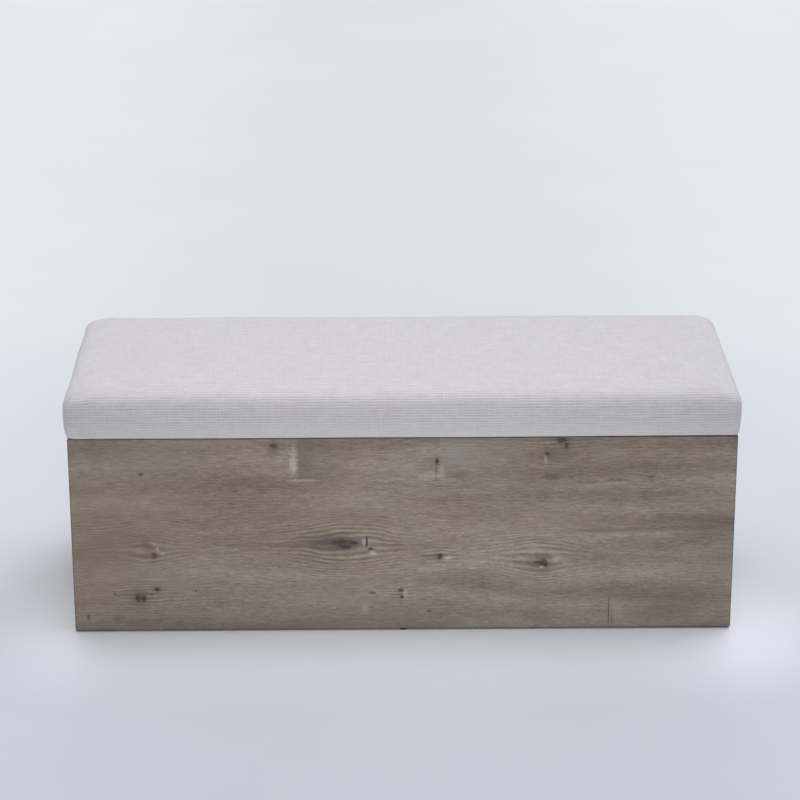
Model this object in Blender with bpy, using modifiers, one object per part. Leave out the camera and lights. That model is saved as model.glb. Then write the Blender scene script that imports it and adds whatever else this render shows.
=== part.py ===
"""Upholstered storage bench: a knock-down box of boards under a padded lid.

The lid turns on three butt hinges along the back and is held open by two gas struts.
Metres, +Z up, front towards -Y, +X to the right of someone who faces the front.
The origin is on the floor, below the middle of the seat.
"""
import math

import bmesh
import bpy
from mathutils import Matrix, Vector

# Box of boards
BOX_WIDTH = 1.200
BOX_DEPTH = 0.450
PANEL_HEIGHT = 0.374
PANEL_THICKNESS = 0.018
PANEL_EDGE_RADIUS = 0.0012
BOTTOM_THICKNESS = 0.016
BOTTOM_PLAY = 0.0005
CLEAT_SIZE = 0.018
SEAT_GAP = 0.0003  # between pieces that rest on each other

# Padded lid
SIDE_OVERHANG = 0.003
FRONT_OVERHANG = 0.003
CUSHION_BULGE = 0.008
WAIST_HEIGHT = 0.045  # where the cushion is widest, above the lid's underside
SHOULDER_HEIGHT = 0.039  # from there to the top of its edge
SHOULDER_WIDTH = 0.040
SHOULDER_POWER = 2.4  # 2 is an ellipse, more is squarer
CROWN_RISE = 0.006
CROWN_FLAT = 0.030  # half width of the level middle
WAIST_CORNER = 0.024
HEM_CORNER = 0.012
HEM_ROLL = 0.0035
HEM_TURN = 0.042
COVER_THICKNESS = 0.0012
LID_BOARD_THICKNESS = 0.015
LINING_THICKNESS = 0.0006
LINING_LAP = 0.012

# Butt hinges
HINGE_FROM_END = 0.180  # from the ends of the boards to the middle of the outer hinges
HINGE_LENGTH = 0.060
LEAF_THICKNESS = 0.0012
LEAF_PLAY = 0.0002
LEAF_MARGIN = 0.003  # from the leaf's front edge to the back panel's inner face
LEAF_CORNER = 0.0025
KNUCKLE_COUNT = 5
KNUCKLE_RADIUS = 0.0030
KNUCKLE_PLAY = 0.0005
PIN_RADIUS = 0.0014
PIN_PLAY = 0.0003
LEAF_HOLE_RADIUS = 0.0020
LEAF_HOLE_PITCH = 0.020
LEAF_HOLE_COUNT = 3

# Gas struts: both ball studs stand equally far from the hinge axis
LID_OPEN_DEGREES = 80.0
STRUT_REACH = 0.190
STRUT_INSET = 0.022  # from the side panel's face to the strut's plane
LID_STUD_DROP = 0.014
BOX_STUD_FORWARD = 0.040
STRUT_TUBE_RADIUS = 0.0075
STRUT_TUBE_WALL = 0.0010
STRUT_TUBE_END = 0.0030
ROD_RADIUS = 0.0030
ROD_SHOWN = 0.020
PISTON_LENGTH = 0.006
PISTON_MARGIN = 0.005
BALL_RADIUS = 0.0050
NECK_RADIUS = 0.0028
SOCKET_RADIUS = 0.0070
SOCKET_LENGTH = 0.0140  # from the ball's centre to the end of the tube or rod
SHANK_RADIUS = 0.0045
BRACKET_THICKNESS = 0.0020
BRACKET_WIDTH = 0.024
BRACKET_LENGTH = 0.046
BRACKET_CORNER = 0.005
BRACKET_HOLE_RADIUS = 0.0022
BRACKET_HOLE_PITCH = 0.032

# Cam fittings, glides and bumpers
CAM_RADIUS = 0.0072
CAM_LENGTH = 0.0122
CAM_FROM_EDGE = 0.034
CAM_FROM_END = 0.060
CROSS_DEPTH = 0.0020
CROSS_WIDTH = 0.0016
CROSS_LENGTH = 0.0090
BOLT_HEAD_RADIUS = 0.0034
BOLT_HEAD_LENGTH = 0.0025
BOLT_NECK_RADIUS = 0.0021
BOLT_NECK_LENGTH = 0.0090
BOLT_SHANK_RADIUS = 0.0035
BOLT_THREAD_RADIUS = 0.0026
BOLT_THREAD_LENGTH = 0.0110
GLIDE_RADIUS = 0.0080
GLIDE_THICKNESS = 0.0027
GLIDE_FROM_END = 0.040
GLIDE_PIN_RADIUS = 0.0014
GLIDE_PIN_LENGTH = 0.0090
BUMPER_RADIUS = 0.0045
BUMPER_FROM_END = 0.050
BORE_PLAY = 0.0004

# Roundness of the facets
CORNER_STEPS = 6
ROLL_STEPS = 3
SIDE_ROWS = 4
SHOULDER_ROWS = 7
CROWN_ROWS = 4
SIDES = 16
FINE_SIDES = 24

# Sizes that follow from the ones above
HALF_X = BOX_WIDTH / 2 + SIDE_OVERHANG + CUSHION_BULGE
HALF_Y = (BOX_DEPTH + FRONT_OVERHANG) / 2 + CUSHION_BULGE
FRONT_Y = CUSHION_BULGE + FRONT_OVERHANG - HALF_Y
BACK_Y = HALF_Y - CUSHION_BULGE
MIDDLE_Y = (FRONT_Y + BACK_Y) / 2
INNER_X = BOX_WIDTH / 2 - PANEL_THICKNESS
INNER_Y = BOX_DEPTH / 2 - PANEL_THICKNESS  # from the box's own middle
PANEL_BOTTOM = GLIDE_THICKNESS + SEAT_GAP
PANEL_TOP = PANEL_BOTTOM + PANEL_HEIGHT
LID_GAP = LEAF_THICKNESS + LEAF_PLAY + 2 * SEAT_GAP
LID_BOTTOM = PANEL_TOP + LID_GAP
SKIN = COVER_THICKNESS + SEAT_GAP
BOTTOM_Z = PANEL_BOTTOM + CLEAT_SIZE + SEAT_GAP + BOTTOM_THICKNESS / 2
LEAF_DEPTH = PANEL_THICKNESS - LEAF_MARGIN
HINGE_Y = BACK_Y + KNUCKLE_RADIUS + KNUCKLE_PLAY
HINGE_Z = PANEL_TOP + (LEAF_PLAY + SEAT_GAP) / 2
LINING_TOP = LID_BOTTOM - SEAT_GAP
LID_FITTING_TOP = LINING_TOP - LINING_THICKNESS - SEAT_GAP
STRUT_X = INNER_X - STRUT_INSET

PARTS = "storage_bench"
CUTTERS = "storage_bench_cutters"

# Finish of each kind of piece: linear colour, roughness, metallic
FINISHES = {
    "oak_board": ((0.216, 0.181, 0.156), 0.55, 0.0),
    "raw_board": ((0.47, 0.34, 0.21), 0.75, 0.0),
    "pale_wood": ((0.55, 0.40, 0.25), 0.70, 0.0),
    "cover_fabric": ((0.70, 0.69, 0.70), 0.95, 0.0),
    "foam": ((0.85, 0.80, 0.62), 0.95, 0.0),
    "lining": ((0.02, 0.02, 0.022), 0.95, 0.0),
    "zinc": ((0.62, 0.62, 0.60), 0.35, 1.0),
    "bright_steel": ((0.70, 0.70, 0.70), 0.18, 1.0),
    "black_tube": ((0.02, 0.02, 0.02), 0.35, 0.0),
    "black_plastic": ((0.03, 0.03, 0.03), 0.50, 0.0),
    "clear_rubber": ((0.65, 0.65, 0.62), 0.45, 0.0),
}


def clear_scene():
    for old in list(bpy.data.objects):
        bpy.data.objects.remove(old)


def make_collections():
    for name in (PARTS, CUTTERS):
        collection = bpy.data.collections.get(name) or bpy.data.collections.new(name)
        if name not in bpy.context.scene.collection.children:
            bpy.context.scene.collection.children.link(collection)


def make_material(name, finish):
    colour, roughness, metallic = FINISHES[finish]
    material = bpy.data.materials.new(name)
    material.use_nodes = True
    shader = material.node_tree.nodes["Principled BSDF"]
    shader.inputs["Base Color"].default_value = (*colour, 1.0)
    shader.inputs["Roughness"].default_value = roughness
    shader.inputs["Metallic"].default_value = metallic
    material.diffuse_color = (*colour, 1.0)
    return material


def world_place(thing):
    """World location of an object whose parents are unturned empties."""
    place = Vector(thing.location)
    while thing.parent:
        thing = thing.parent
        place += thing.location
    return place


def set_place(thing, location, rotation, parent):
    thing.parent = parent
    thing.location = Vector(location) - (world_place(parent) if parent else Vector())
    thing.rotation_euler = rotation


def add_part(name, mesh, finish, location=(0, 0, 0), rotation=(0, 0, 0), parent=None):
    part = bpy.data.objects.new(name, mesh)
    bpy.data.collections[PARTS].objects.link(part)
    mesh.materials.append(make_material(name, finish))
    set_place(part, location, rotation, parent)
    return part


def add_pivot(name, location, parent=None):
    pivot = bpy.data.objects.new(name, None)
    bpy.data.collections[PARTS].objects.link(pivot)
    pivot.empty_display_size = 0.02
    set_place(pivot, location, (0, 0, 0), parent)
    return pivot


def combine(part, name, mesh, operation, location=(0, 0, 0), rotation=(0, 0, 0)):
    """Cut or join a hidden helper shape; returns the helper."""
    helper = bpy.data.objects.new(name, mesh)
    bpy.data.collections[CUTTERS].objects.link(helper)
    helper.hide_render = True
    helper.display_type = "WIRE"
    helper.location = location
    helper.rotation_euler = rotation
    boolean = part.modifiers.new(name, "BOOLEAN")
    boolean.operation = operation
    boolean.object = helper
    return helper


def finish_mesh(bm, name, smooth_angle=None):
    mesh = bpy.data.meshes.new(name)
    bm.normal_update()
    bm.to_mesh(mesh)
    bm.free()
    if smooth_angle is not None:
        mesh.shade_smooth()
        mesh.set_sharp_from_angle(angle=math.radians(smooth_angle))
    return mesh


def box_mesh(name, size, centres=((0, 0, 0),)):
    """One box, or several alike, each round its own centre."""
    bm = bmesh.new()
    for centre in centres:
        made = bmesh.ops.create_cube(bm, size=1.0)
        bmesh.ops.scale(bm, vec=size, verts=made["verts"])
        bmesh.ops.translate(bm, vec=centre, verts=made["verts"])
    return finish_mesh(bm, name)


def rod_mesh(name, radius, length, centres=((0, 0, 0),), axis="Z", sides=SIDES, end_radius=None):
    """One cylinder or cone, or several alike, along an axis through their centres."""
    turn = {
        "X": Matrix.Rotation(math.pi / 2, 4, "Y"),
        "Y": Matrix.Rotation(-math.pi / 2, 4, "X"),
        "Z": Matrix.Identity(4),
    }[axis]
    bm = bmesh.new()
    for centre in centres:
        bmesh.ops.create_cone(
            bm,
            cap_ends=True,
            segments=sides,
            radius1=radius,
            radius2=radius if end_radius is None else end_radius,
            depth=length,
            matrix=Matrix.Translation(centre) @ turn,
        )
    return finish_mesh(bm, name, 40)


def plate_mesh(name, size_x, size_y, thickness, corner):
    """A flat plate across Z with rounded corners."""
    bm = bmesh.new()
    bmesh.ops.create_cube(bm, size=1.0)
    bmesh.ops.scale(bm, vec=(size_x, size_y, thickness), verts=bm.verts)
    upright = [edge for edge in bm.edges if abs(edge.verts[0].co.z - edge.verts[1].co.z) > thickness / 2]
    bmesh.ops.bevel(bm, geom=upright, offset=corner, segments=3, profile=0.5, affect="EDGES")
    return finish_mesh(bm, name, 40)


def turned_mesh(name, profile):
    """An outline of (radius, height) points, for the Screw modifier to turn round Z."""
    bm = bmesh.new()
    corners = [bm.verts.new((radius, 0, height)) for radius, height in profile]
    for first, second in zip(corners, corners[1:]):
        bm.edges.new((first, second))
    return finish_mesh(bm, name)


def add_screw(turned, sides):
    screw = turned.modifiers.new("turned", "SCREW")
    screw.steps = sides
    screw.render_steps = sides
    screw.use_merge_vertices = True
    screw.merge_threshold = 0.00002


def add_edge_rounding(part, width, segments=2):
    bevel = part.modifiers.new("edge_rounding", "BEVEL")
    bevel.width = width
    bevel.segments = segments
    bevel.limit_method = "ANGLE"
    bevel.angle_limit = math.radians(40)


def rounded_ring(half_x, half_y, radius, height):
    """Points of a rounded rectangle, anticlockwise from above."""
    points = []
    for corner, (side_x, side_y) in enumerate(((1, 1), (-1, 1), (-1, -1), (1, -1))):
        for step in range(CORNER_STEPS + 1):
            angle = math.pi / 2 * (corner + step / CORNER_STEPS)
            x = side_x * (half_x - radius) + radius * math.cos(angle)
            y = side_y * (half_y - radius) + radius * math.sin(angle)
            points.append((x, y, height))
    return points


def loft(bm, rings):
    """Skin a stack of rings, from the lowest outwards and up; returns the rows of vertices."""
    rows = [[bm.verts.new(point) for point in ring] for ring in rings]
    for lower, upper in zip(rows, rows[1:]):
        for here in range(len(lower)):
            after = (here + 1) % len(lower)
            bm.faces.new((lower[here], lower[after], upper[after], upper[here]))
    return rows


def cushion_row(inset, height, corner):
    return rounded_ring(HALF_X - inset, HALF_Y - inset, corner, LID_BOTTOM + height)


def cushion_rows(depth, start):
    """Rings of the cushion from a start height up to the crown, a depth below its skin."""
    rows = []
    for step in range(SIDE_ROWS + 1):
        height = start + (WAIST_HEIGHT - start) * step / SIDE_ROWS
        rise = (height - HEM_ROLL) / (WAIST_HEIGHT - HEM_ROLL)
        drawn_in = 1 - math.sin(math.pi / 2 * rise)
        corner = WAIST_CORNER + (HEM_CORNER - WAIST_CORNER) * drawn_in
        rows.append(cushion_row(CUSHION_BULGE * drawn_in + depth, height, corner - depth))
    for step in range(1, SHOULDER_ROWS + 1):
        angle = math.pi / 2 * step / SHOULDER_ROWS
        across = 1 - max(math.cos(angle), 0.0) ** (2 / SHOULDER_POWER)
        up = math.sin(angle) ** (2 / SHOULDER_POWER)
        corner = WAIST_CORNER + SHOULDER_WIDTH * across / 2
        inset = depth + (SHOULDER_WIDTH - depth) * across
        rows.append(cushion_row(inset, WAIST_HEIGHT + (SHOULDER_HEIGHT - depth) * up, corner - depth))
    edge_top = WAIST_HEIGHT + SHOULDER_HEIGHT - depth
    for step in range(1, CROWN_ROWS + 1):
        part_way = step / CROWN_ROWS
        inset = SHOULDER_WIDTH + (HALF_Y - CROWN_FLAT - SHOULDER_WIDTH) * part_way
        rise = CROWN_RISE * (1 - math.cos(math.pi * part_way)) / 2
        corner = min(WAIST_CORNER + inset / 2, 0.9 * (HALF_Y - inset))
        rows.append(cushion_row(inset, edge_top + rise, corner))
    return rows


def hem_rows():
    """Rings of the cover's turned-under hem and of the roll round the board's lower edge."""
    rows = [cushion_row(CUSHION_BULGE + HEM_TURN, 0.0, HEM_CORNER)]
    for step in range(ROLL_STEPS):
        angle = math.pi / 2 * step / ROLL_STEPS
        sunk = HEM_ROLL * (1 - math.sin(angle))
        corner = HEM_CORNER - sunk
        rows.append(cushion_row(CUSHION_BULGE + sunk, HEM_ROLL * (1 - math.cos(angle)), corner))
    return rows


def slab_mesh(name, inset, bottom, thickness, corner):
    """A flat piece of the lid: a rounded rectangle, with the inset from the cushion's widest line."""
    bm = bmesh.new()
    rows = loft(bm, [cushion_row(inset, bottom, corner), cushion_row(inset, bottom + thickness, corner)])
    bm.faces.new(reversed(rows[0]))
    bm.faces.new(rows[-1])
    return finish_mesh(bm, name, 30)


def make_lid(lid_pivot):
    cover = bmesh.new()
    rows = loft(cover, hem_rows() + cushion_rows(0.0, HEM_ROLL))
    cover.faces.new(rows[-1])
    lid_centre = (0, 0, 0)
    seat_cover = add_part("seat_cover", finish_mesh(cover, "seat_cover", 50), "cover_fabric", lid_centre,
                          parent=lid_pivot)
    shell = seat_cover.modifiers.new("fabric_thickness", "SOLIDIFY")
    shell.thickness = COVER_THICKNESS
    shell.offset = -1.0

    foam_bottom = SKIN + LID_BOARD_THICKNESS + SEAT_GAP
    foam = bmesh.new()
    rows = loft(foam, cushion_rows(SKIN, foam_bottom))
    foam.faces.new(reversed(rows[0]))
    foam.faces.new(rows[-1])
    add_part("seat_foam", finish_mesh(foam, "seat_foam", 50), "foam", lid_centre, parent=lid_pivot)

    board_mesh = slab_mesh("lid_board", CUSHION_BULGE + SKIN, SKIN, LID_BOARD_THICKNESS, HEM_CORNER - SKIN)
    board = add_part("lid_board", board_mesh, "raw_board", lid_centre, parent=lid_pivot)
    add_edge_rounding(board, HEM_ROLL - SKIN)

    lining_inset = CUSHION_BULGE + HEM_TURN - LINING_LAP
    lining_mesh = slab_mesh("lid_lining", lining_inset, -SEAT_GAP - LINING_THICKNESS, LINING_THICKNESS,
                            HEM_CORNER)
    add_part("lid_lining", lining_mesh, "lining", lid_centre, parent=lid_pivot)


def cam_places():
    """Name and place of each cam: its face's centre, its side and which way its bolt points."""
    places = []
    low = PANEL_BOTTOM + CAM_FROM_END
    high = PANEL_TOP - CAM_FROM_END
    for end_name, end in (("front", -1), ("back", 1)):
        cam_y = MIDDLE_Y + end * (INNER_Y - SEAT_GAP - CAM_FROM_EDGE)
        for side_name, side in (("left", -1), ("right", 1)):
            for level_name, cam_z in (("lower", low), ("upper", high)):
                name = f"{end_name}_{side_name}_{level_name}"
                places.append((name, side, end, (side * INNER_X, cam_y, cam_z)))
    return places


def bolt_x(side):
    return side * (BOX_WIDTH / 2 - PANEL_THICKNESS / 2)


def glide_places():
    near = MIDDLE_Y - INNER_Y + SEAT_GAP + GLIDE_FROM_END
    far = MIDDLE_Y + INNER_Y - SEAT_GAP - GLIDE_FROM_END
    side_x = bolt_x(1)
    return {
        "glide_front_left": (-side_x, near),
        "glide_front_right": (side_x, near),
        "glide_back_left": (-side_x, far),
        "glide_back_right": (side_x, far),
        "glide_front_middle": (0.0, FRONT_Y + PANEL_THICKNESS / 2),
        "glide_back_middle": (0.0, BACK_Y - PANEL_THICKNESS / 2),
    }


def cut_glide_bores(panel, names):
    length = GLIDE_PIN_LENGTH + BORE_PLAY
    places = glide_places()
    centres = [(*places[name], PANEL_BOTTOM) for name in names]
    bores = rod_mesh(f"{panel.name}_glide_bores", GLIDE_PIN_RADIUS + BORE_PLAY, 2 * length, centres)
    combine(panel, bores.name, bores, "DIFFERENCE")


def make_long_panel(name, end):
    """The front or the back panel, which covers the ends of the side panels."""
    panel_y = MIDDLE_Y + end * (BOX_DEPTH - PANEL_THICKNESS) / 2
    panel_z = PANEL_BOTTOM + PANEL_HEIGHT / 2
    mesh = box_mesh(name, (BOX_WIDTH, PANEL_THICKNESS, PANEL_HEIGHT))
    panel = add_part(name, mesh, "oak_board", (0, panel_y, panel_z))
    add_edge_rounding(panel, PANEL_EDGE_RADIUS)
    inner_face = MIDDLE_Y + end * INNER_Y
    centres = [(bolt_x(side), inner_face, place[2]) for _, side, at, place in cam_places() if at == end]
    bores = rod_mesh(f"{name}_bolt_bores", BOLT_THREAD_RADIUS + BORE_PLAY,
                     2 * (BOLT_THREAD_LENGTH + BORE_PLAY), centres, "Y")
    combine(panel, bores.name, bores, "DIFFERENCE")
    cut_glide_bores(panel, ["glide_front_middle" if end < 0 else "glide_back_middle"])
    return panel


def make_side_panel(name, side):
    panel_x = bolt_x(side)
    depth = 2 * (INNER_Y - SEAT_GAP)
    mesh = box_mesh(name, (PANEL_THICKNESS, depth, PANEL_HEIGHT))
    panel = add_part(name, mesh, "oak_board", (panel_x, MIDDLE_Y, PANEL_BOTTOM + PANEL_HEIGHT / 2))
    add_edge_rounding(panel, PANEL_EDGE_RADIUS)
    fittings = [place for _, at_side, _, place in cam_places() if at_side == side]
    pockets = rod_mesh(f"{name}_cam_pockets", CAM_RADIUS + BORE_PLAY, 2 * (CAM_LENGTH + 2 * BORE_PLAY),
                       fittings, "X", FINE_SIDES)
    combine(panel, pockets.name, pockets, "DIFFERENCE")
    ends = [(panel_x, MIDDLE_Y + math.copysign(depth / 2, place[1] - MIDDLE_Y), place[2]) for place in fittings]
    bores = rod_mesh(f"{name}_bolt_bores", BOLT_SHANK_RADIUS + BORE_PLAY, 2 * CAM_FROM_EDGE, ends, "Y")
    combine(panel, bores.name, bores, "DIFFERENCE")
    word = "left" if side < 0 else "right"
    cut_glide_bores(panel, [f"glide_front_{word}", f"glide_back_{word}"])


def make_bottom():
    width = 2 * (INNER_X - BOTTOM_PLAY)
    depth = 2 * (INNER_Y - BOTTOM_PLAY)
    add_part("bottom_panel", box_mesh("bottom_panel", (width, depth, BOTTOM_THICKNESS)), "oak_board",
             (0, MIDDLE_Y, BOTTOM_Z))
    cleat_z = PANEL_BOTTOM + CLEAT_SIZE / 2
    for name, end in (("front_cleat", -1), ("back_cleat", 1)):
        cleat_y = MIDDLE_Y + end * (INNER_Y - SEAT_GAP - CLEAT_SIZE / 2)
        mesh = box_mesh(name, (width, CLEAT_SIZE, CLEAT_SIZE))
        add_part(name, mesh, "pale_wood", (0, cleat_y, cleat_z))
    for name, side in (("left_cleat", -1), ("right_cleat", 1)):
        cleat_x = side * (INNER_X - SEAT_GAP - CLEAT_SIZE / 2)
        mesh = box_mesh(name, (CLEAT_SIZE, 2 * (INNER_Y - CLEAT_SIZE - 2 * SEAT_GAP), CLEAT_SIZE))
        add_part(name, mesh, "pale_wood", (cleat_x, MIDDLE_Y, cleat_z))


def make_cam(name, side, end, place):
    """A cam with its cross slot, and a mouth that closes behind the bolt's head."""
    mesh = rod_mesh(name, CAM_RADIUS, CAM_LENGTH, ((CAM_LENGTH / 2 * side, 0, 0),), "X")
    cam = add_part(name, mesh, "zinc", place)
    slots = box_mesh(f"{name}_cross_tall", (2 * CROSS_DEPTH, CROSS_WIDTH, CROSS_LENGTH))
    combine(cam, slots.name, slots, "DIFFERENCE", place)
    slots = box_mesh(f"{name}_cross_wide", (2 * CROSS_DEPTH, CROSS_LENGTH, CROSS_WIDTH))
    combine(cam, slots.name, slots, "DIFFERENCE", place)
    bolt_place = (bolt_x(side), place[1], place[2])
    mouth_radius = BOLT_NECK_RADIUS + BORE_PLAY
    mouth = rod_mesh(f"{name}_mouth", mouth_radius, CAM_RADIUS * 1.5, ((0, end * CAM_RADIUS * 0.75, 0),), "Y", 12)
    combine(cam, mouth.name, mouth, "DIFFERENCE", bolt_place)
    pocket_length = BOLT_HEAD_LENGTH + 2 * BORE_PLAY
    pocket = rod_mesh(f"{name}_pocket", BOLT_HEAD_RADIUS + BORE_PLAY, pocket_length, axis="Y", sides=12)
    combine(cam, pocket.name, pocket, "DIFFERENCE", bolt_place)


def make_cam_bolt(name, side, end, place):
    """A turned bolt: thread in the long panel, shank in the side panel, head in the cam."""
    head_end = -BOLT_HEAD_LENGTH / 2
    neck_start = BOLT_HEAD_LENGTH / 2
    shank_start = neck_start + BOLT_NECK_LENGTH
    panel_face = CAM_FROM_EDGE + SEAT_GAP
    profile = [
        (0, panel_face + BOLT_THREAD_LENGTH),
        (BOLT_THREAD_RADIUS, panel_face + BOLT_THREAD_LENGTH),
        (BOLT_THREAD_RADIUS, panel_face - SEAT_GAP),
        (BOLT_SHANK_RADIUS, panel_face - SEAT_GAP),
        (BOLT_SHANK_RADIUS, shank_start),
        (BOLT_NECK_RADIUS, shank_start),
        (BOLT_NECK_RADIUS, neck_start),
        (BOLT_HEAD_RADIUS, neck_start),
        (BOLT_HEAD_RADIUS, head_end),
        (0, head_end),
    ]
    turn = (-end * math.pi / 2, 0, 0)
    bolt = add_part(name, turned_mesh(name, profile), "zinc", (bolt_x(side), place[1], place[2]), turn)
    add_screw(bolt, 12)


def make_glide(name, x, y):
    edge = GLIDE_THICKNESS / 4
    profile = [
        (0, PANEL_BOTTOM + GLIDE_PIN_LENGTH),
        (GLIDE_PIN_RADIUS, PANEL_BOTTOM + GLIDE_PIN_LENGTH),
        (GLIDE_PIN_RADIUS, GLIDE_THICKNESS),
        (GLIDE_RADIUS, GLIDE_THICKNESS),
        (GLIDE_RADIUS, edge),
        (GLIDE_RADIUS - edge, 0),
        (0, 0),
    ]
    glide = add_part(name, turned_mesh(name, profile), "black_plastic", (x, y, 0))
    add_screw(glide, SIDES)


def make_bumper(name, x):
    thickness = LID_GAP - 2 * SEAT_GAP
    mesh = rod_mesh(name, BUMPER_RADIUS, thickness, end_radius=BUMPER_RADIUS - thickness / 2)
    add_part(name, mesh, "clear_rubber",
             (x, FRONT_Y + PANEL_THICKNESS / 2, PANEL_TOP + SEAT_GAP + thickness / 2))


def make_leaf(name, x, first_knuckle, leaf_z, parent=None):
    """A hinge leaf with every second knuckle rolled on its back edge, countersunk for screws."""
    knuckle = HINGE_LENGTH / KNUCKLE_COUNT
    plate_y = HINGE_Y - KNUCKLE_RADIUS - KNUCKLE_PLAY - LEAF_DEPTH / 2
    mesh = plate_mesh(name, HINGE_LENGTH, LEAF_DEPTH, LEAF_THICKNESS, LEAF_CORNER)
    leaf = add_part(name, mesh, "zinc", (x, plate_y, leaf_z), parent=parent)
    centres = [
        ((number - (KNUCKLE_COUNT - 1) / 2) * knuckle, 0, 0)
        for number in range(first_knuckle, KNUCKLE_COUNT, 2)
    ]
    length = knuckle - SEAT_GAP
    tab_depth = KNUCKLE_RADIUS + KNUCKLE_PLAY + LEAF_CORNER
    tabs = box_mesh(f"{name}_tabs", (length, tab_depth, LEAF_THICKNESS), centres)
    combine(leaf, tabs.name, tabs, "UNION", (x, HINGE_Y - tab_depth / 2, leaf_z))
    rolls = rod_mesh(f"{name}_rolls", KNUCKLE_RADIUS, length, centres, "X")
    combine(leaf, rolls.name, rolls, "UNION", (x, HINGE_Y, HINGE_Z))
    bore = rod_mesh(f"{name}_bore", PIN_RADIUS + PIN_PLAY, HINGE_LENGTH * 1.2, axis="X", sides=12)
    combine(leaf, bore.name, bore, "DIFFERENCE", (x, HINGE_Y, HINGE_Z))
    screws = [
        ((number - (LEAF_HOLE_COUNT - 1) / 2) * LEAF_HOLE_PITCH, 0, 0) for number in range(LEAF_HOLE_COUNT)
    ]
    wide, narrow = LEAF_HOLE_RADIUS + LEAF_THICKNESS, LEAF_HOLE_RADIUS - LEAF_THICKNESS / 2
    low, high = (wide, narrow) if parent else (narrow, wide)
    holes = rod_mesh(f"{name}_holes", low, 3 * LEAF_THICKNESS, screws, sides=12, end_radius=high)
    combine(leaf, holes.name, holes, "DIFFERENCE", (x, plate_y, leaf_z))


def make_hinges(back_panel, lid_pivot):
    outer_x = BOX_WIDTH / 2 - HINGE_FROM_END
    hinges = {"left": -outer_x, "middle": 0.0, "right": outer_x}
    leaf_rest = PANEL_TOP - LEAF_THICKNESS / 2
    recess_size = (HINGE_LENGTH + 2 * BORE_PLAY, 2 * (LEAF_DEPTH + BORE_PLAY), 2 * (LEAF_THICKNESS + SEAT_GAP))
    recesses = box_mesh("hinge_recesses", recess_size, [(x, BACK_Y, PANEL_TOP) for x in hinges.values()])
    combine(back_panel, recesses.name, recesses, "DIFFERENCE")
    lid_leaf_z = LID_BOTTOM - SEAT_GAP - LEAF_THICKNESS / 2
    for word, x in hinges.items():
        make_leaf(f"hinge_{word}_box_leaf", x, 0, leaf_rest)
        make_leaf(f"hinge_{word}_lid_leaf", x, 1, lid_leaf_z, lid_pivot)
        pin = rod_mesh(f"hinge_{word}_pin", PIN_RADIUS, HINGE_LENGTH, axis="X", sides=12)
        add_part(pin.name, pin, "bright_steel", (x, HINGE_Y, HINGE_Z))


def stud_reach(offset):
    """The other leg of the triangle from the hinge axis to a ball stud."""
    return math.sqrt(STRUT_REACH ** 2 - offset ** 2)


def strut_places(side):
    """World centres of the box's and the lid's ball."""
    box_ball = Vector((side * STRUT_X, HINGE_Y - BOX_STUD_FORWARD, HINGE_Z - stud_reach(BOX_STUD_FORWARD)))
    lid_ball = Vector((side * STRUT_X, HINGE_Y - stud_reach(LID_STUD_DROP), HINGE_Z - LID_STUD_DROP))
    return box_ball, lid_ball


def ball_stud_profile(neck_end):
    """A ball on a neck, from the ball's far pole down to the bracket's plate."""
    steps = 6
    meet = math.pi - math.asin(NECK_RADIUS / BALL_RADIUS)
    arc = [
        (BALL_RADIUS * math.sin(meet * step / steps), BALL_RADIUS * math.cos(meet * step / steps))
        for step in range(steps + 1)
    ]
    return arc + [(NECK_RADIUS, -neck_end), (0, -neck_end)]


def join_ball_stud(bracket, centre, facing, plate_centre_x):
    """Join a ball stud to a bracket; facing is +1 or -1 along X, from the plate to the ball."""
    name = f"{bracket.name}_stud"
    stud = combine(bracket, name, turned_mesh(name, ball_stud_profile(abs(centre.x - plate_centre_x))),
                   "UNION", centre, (0, facing * math.pi / 2, 0))
    add_screw(stud, 12)


def bracket_holes(bracket, centre, axis):
    along = [
        (0, offset * BRACKET_HOLE_PITCH / 2, 0) if axis == "Z" else (0, 0, offset * BRACKET_HOLE_PITCH / 2)
        for offset in (-1, 1)
    ]
    holes = rod_mesh(f"{bracket.name}_holes", BRACKET_HOLE_RADIUS, 4 * BRACKET_THICKNESS, along, axis, 12)
    combine(bracket, holes.name, holes, "DIFFERENCE", centre)


def make_box_bracket(name, side, ball):
    plate_x = side * (INNER_X - SEAT_GAP - BRACKET_THICKNESS / 2)
    mesh = plate_mesh(name, BRACKET_LENGTH, BRACKET_WIDTH, BRACKET_THICKNESS, BRACKET_CORNER)
    bracket = add_part(name, mesh, "zinc", (plate_x, ball.y, ball.z), (0, math.pi / 2, 0))
    join_ball_stud(bracket, ball, -side, plate_x)
    bracket_holes(bracket, (plate_x, ball.y, ball.z), "X")


def make_lid_bracket(name, side, ball, parent):
    """A plate under the lid with a flange that hangs from it and carries the ball stud."""
    neck = STRUT_INSET / 2
    flange_x = ball.x - side * neck
    top = LID_FITTING_TOP - BRACKET_THICKNESS / 2
    plate_x = flange_x - side * (BRACKET_WIDTH - BRACKET_THICKNESS) / 2
    mesh = plate_mesh(name, BRACKET_WIDTH, BRACKET_LENGTH, BRACKET_THICKNESS, BRACKET_CORNER / 2)
    bracket = add_part(name, mesh, "zinc", (plate_x, ball.y, top), parent=parent)
    drop = top - ball.z + SOCKET_RADIUS
    flange = plate_mesh(f"{name}_flange", drop, BRACKET_WIDTH, BRACKET_THICKNESS, BRACKET_CORNER / 2)
    flange_centre = (flange_x, ball.y, top - drop / 2 + BRACKET_THICKNESS / 4)
    combine(bracket, flange.name, flange, "UNION", flange_centre, (0, math.pi / 2, 0))
    join_ball_stud(bracket, ball, side, flange_x)
    bracket_holes(bracket, (plate_x - side * BRACKET_THICKNESS, ball.y, top), "Z")


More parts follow.
